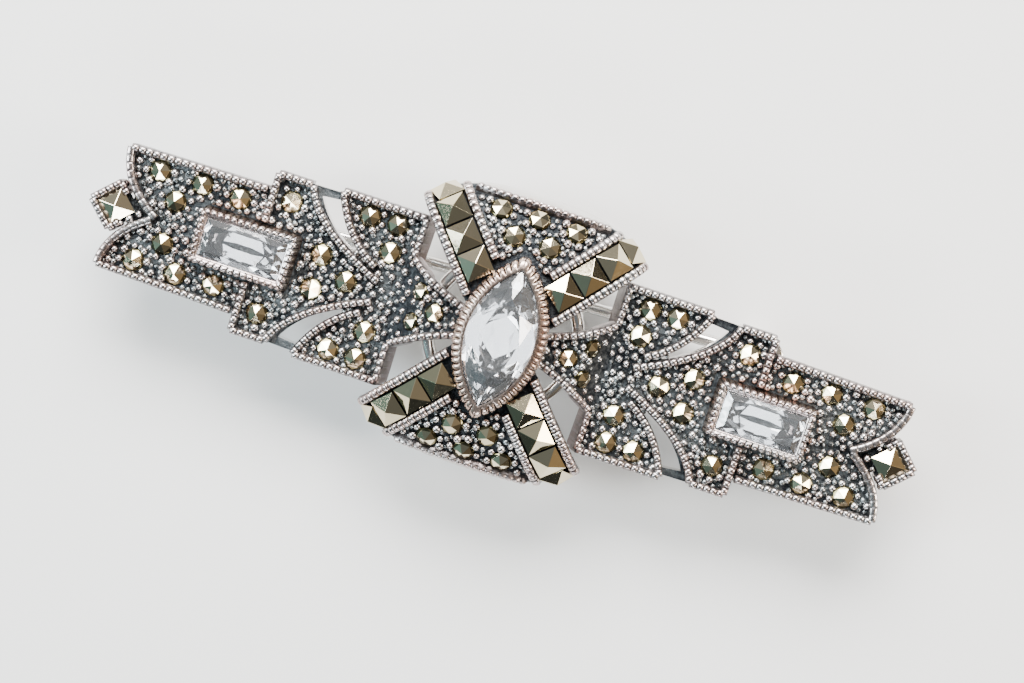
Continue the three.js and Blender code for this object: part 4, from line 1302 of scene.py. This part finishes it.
studio = {
    "floor": (0.74, 0.74, 0.735, 1),
    # soft patches of sky: direction, how tight, colour and strength
    "sky": [((-0.3, 0.75, 0.6), 5.0, (1.0, 1.0, 1.0)), ((-0.85, -0.3, 0.45), 7.0, (0.22, 0.42, 0.46)),
            ((0.85, 0.1, 0.5), 7.0, (0.55, 0.38, 0.2)), ((0.0, 0.0, 1.0), 3.0, (0.1, 0.11, 0.12))],
    "skyBase": (0.035, 0.04, 0.042, 1), "backdrop": (0.3, 0.305, 0.305, 1),
    # what the clear stones gather: a bright ceiling that ends in a dark wall
    "ceiling": {"aim": (-0.15, 0.3, 0.94), "from": -0.35, "to": 0.25, "bright": (3.4, 3.6, 3.8, 1),
                "wall": (0.07, 0.08, 0.085, 1)},
    # place in mm, size in mm, watts, colour
    "lamps": [((-60, 230, 190), (260, 150), 4.2, (1.0, 0.98, 0.955)),
              ((-230, -40, 170), (90, 190), 1.2, (0.84, 0.95, 1.0)),
              ((220, 40, 120), (70, 150), 0.8, (1.0, 0.88, 0.76)),
              ((60, -230, 140), (160, 40), 0.45, (0.9, 0.95, 1.0))],
}
view = {"place": (2.149, 13.293, 133.910), "back": (0.0100, 0.1005, 0.9949), "roll": 18.43,
        "lens": 69.1, "sensor": 36}


def makeFloor():
    mesh = bpy.data.meshes.new("floor")
    reach = 2.0
    mesh.from_pydata([(x * reach, y * reach, 0) for x, y in quarters], [], [(0, 1, 2, 3)])
    floor = bpy.data.objects.new("floor", mesh)
    bpy.context.scene.collection.objects.link(floor)
    material, _, surface = newMaterial("floorPaper")
    surface.inputs["Base Color"].default_value = studio["floor"]
    surface.inputs["Roughness"].default_value = 0.85
    mesh.materials.append(material)


def makeLamps():
    for i, (place, size, watts, colour) in enumerate(studio["lamps"]):
        data = bpy.data.lights.new("lamp" + str(i + 1), "AREA")
        data.shape = "RECTANGLE"
        data.size, data.size_y = size[0] * mm, size[1] * mm
        data.energy = watts
        data.color = colour
        lamp = bpy.data.objects.new("lamp" + str(i + 1), data)
        lamp.location = Vector(place) * mm
        lamp.rotation_euler = (-lamp.location).to_track_quat("-Z", "Y").to_euler()
        bpy.context.scene.collection.objects.link(lamp)
    world = bpy.data.worlds.new("studio")
    world.use_nodes = True
    n = Nodes(world.node_tree)
    way = n.add("ShaderNodeTexCoord").outputs["Generated"]

    def facing(aim):
        node = n.add("ShaderNodeVectorMath", {"operation": "DOT_PRODUCT"},
                     {1: Vector(aim).normalized()}, {0: way})
        return node.outputs["Value"]
    total = studio["skyBase"]
    for aim, tight, colour in studio["sky"]:
        share = n.math("POWER", n.math("MAXIMUM", facing(aim), 0.0), tight)
        total = n.mix(share, total, (*colour, 1), "ADD")
    # light that has been inside a clear stone comes from a brighter room, as for a stone near a window
    ceiling = studio["ceiling"]
    share = n.ramp(facing(ceiling["aim"]), ceiling["from"], ceiling["to"])
    gathered = n.mix(share, ceiling["wall"], ceiling["bright"])
    path = n.add("ShaderNodeLightPath")
    inside = n.math("MINIMUM", path.outputs["Transmission Depth"], 1.0)
    colour = n.mix(path.outputs["Is Camera Ray"], n.mix(inside, total, gathered), studio["backdrop"])
    n.tree.links.new(colour, n.tree.nodes["Background"].inputs["Color"])
    bpy.context.scene.world = world


def makeCamera():
    data = bpy.data.cameras.new("camera")
    data.lens, data.sensor_width = view["lens"], view["sensor"]
    data.clip_start, data.clip_end = 0.001, 10
    camera = bpy.data.objects.new("camera", data)
    back = Vector(view["back"]).normalized()
    right = Vector((0, 1, 0)).cross(back).normalized()
    turn = Matrix.Rotation(math.radians(view["roll"]), 3, back)
    right = turn @ right
    rows = Matrix((right, back.cross(right), back)).transposed()
    place = (Vector(view["place"]) + up * deck) * mm
    camera.matrix_world = Matrix.Translation(place) @ rows.to_4x4()
    bpy.context.scene.collection.objects.link(camera)
    bpy.context.scene.camera = camera


makeFloor()
makeLamps()
makeCamera()
print("studio set")
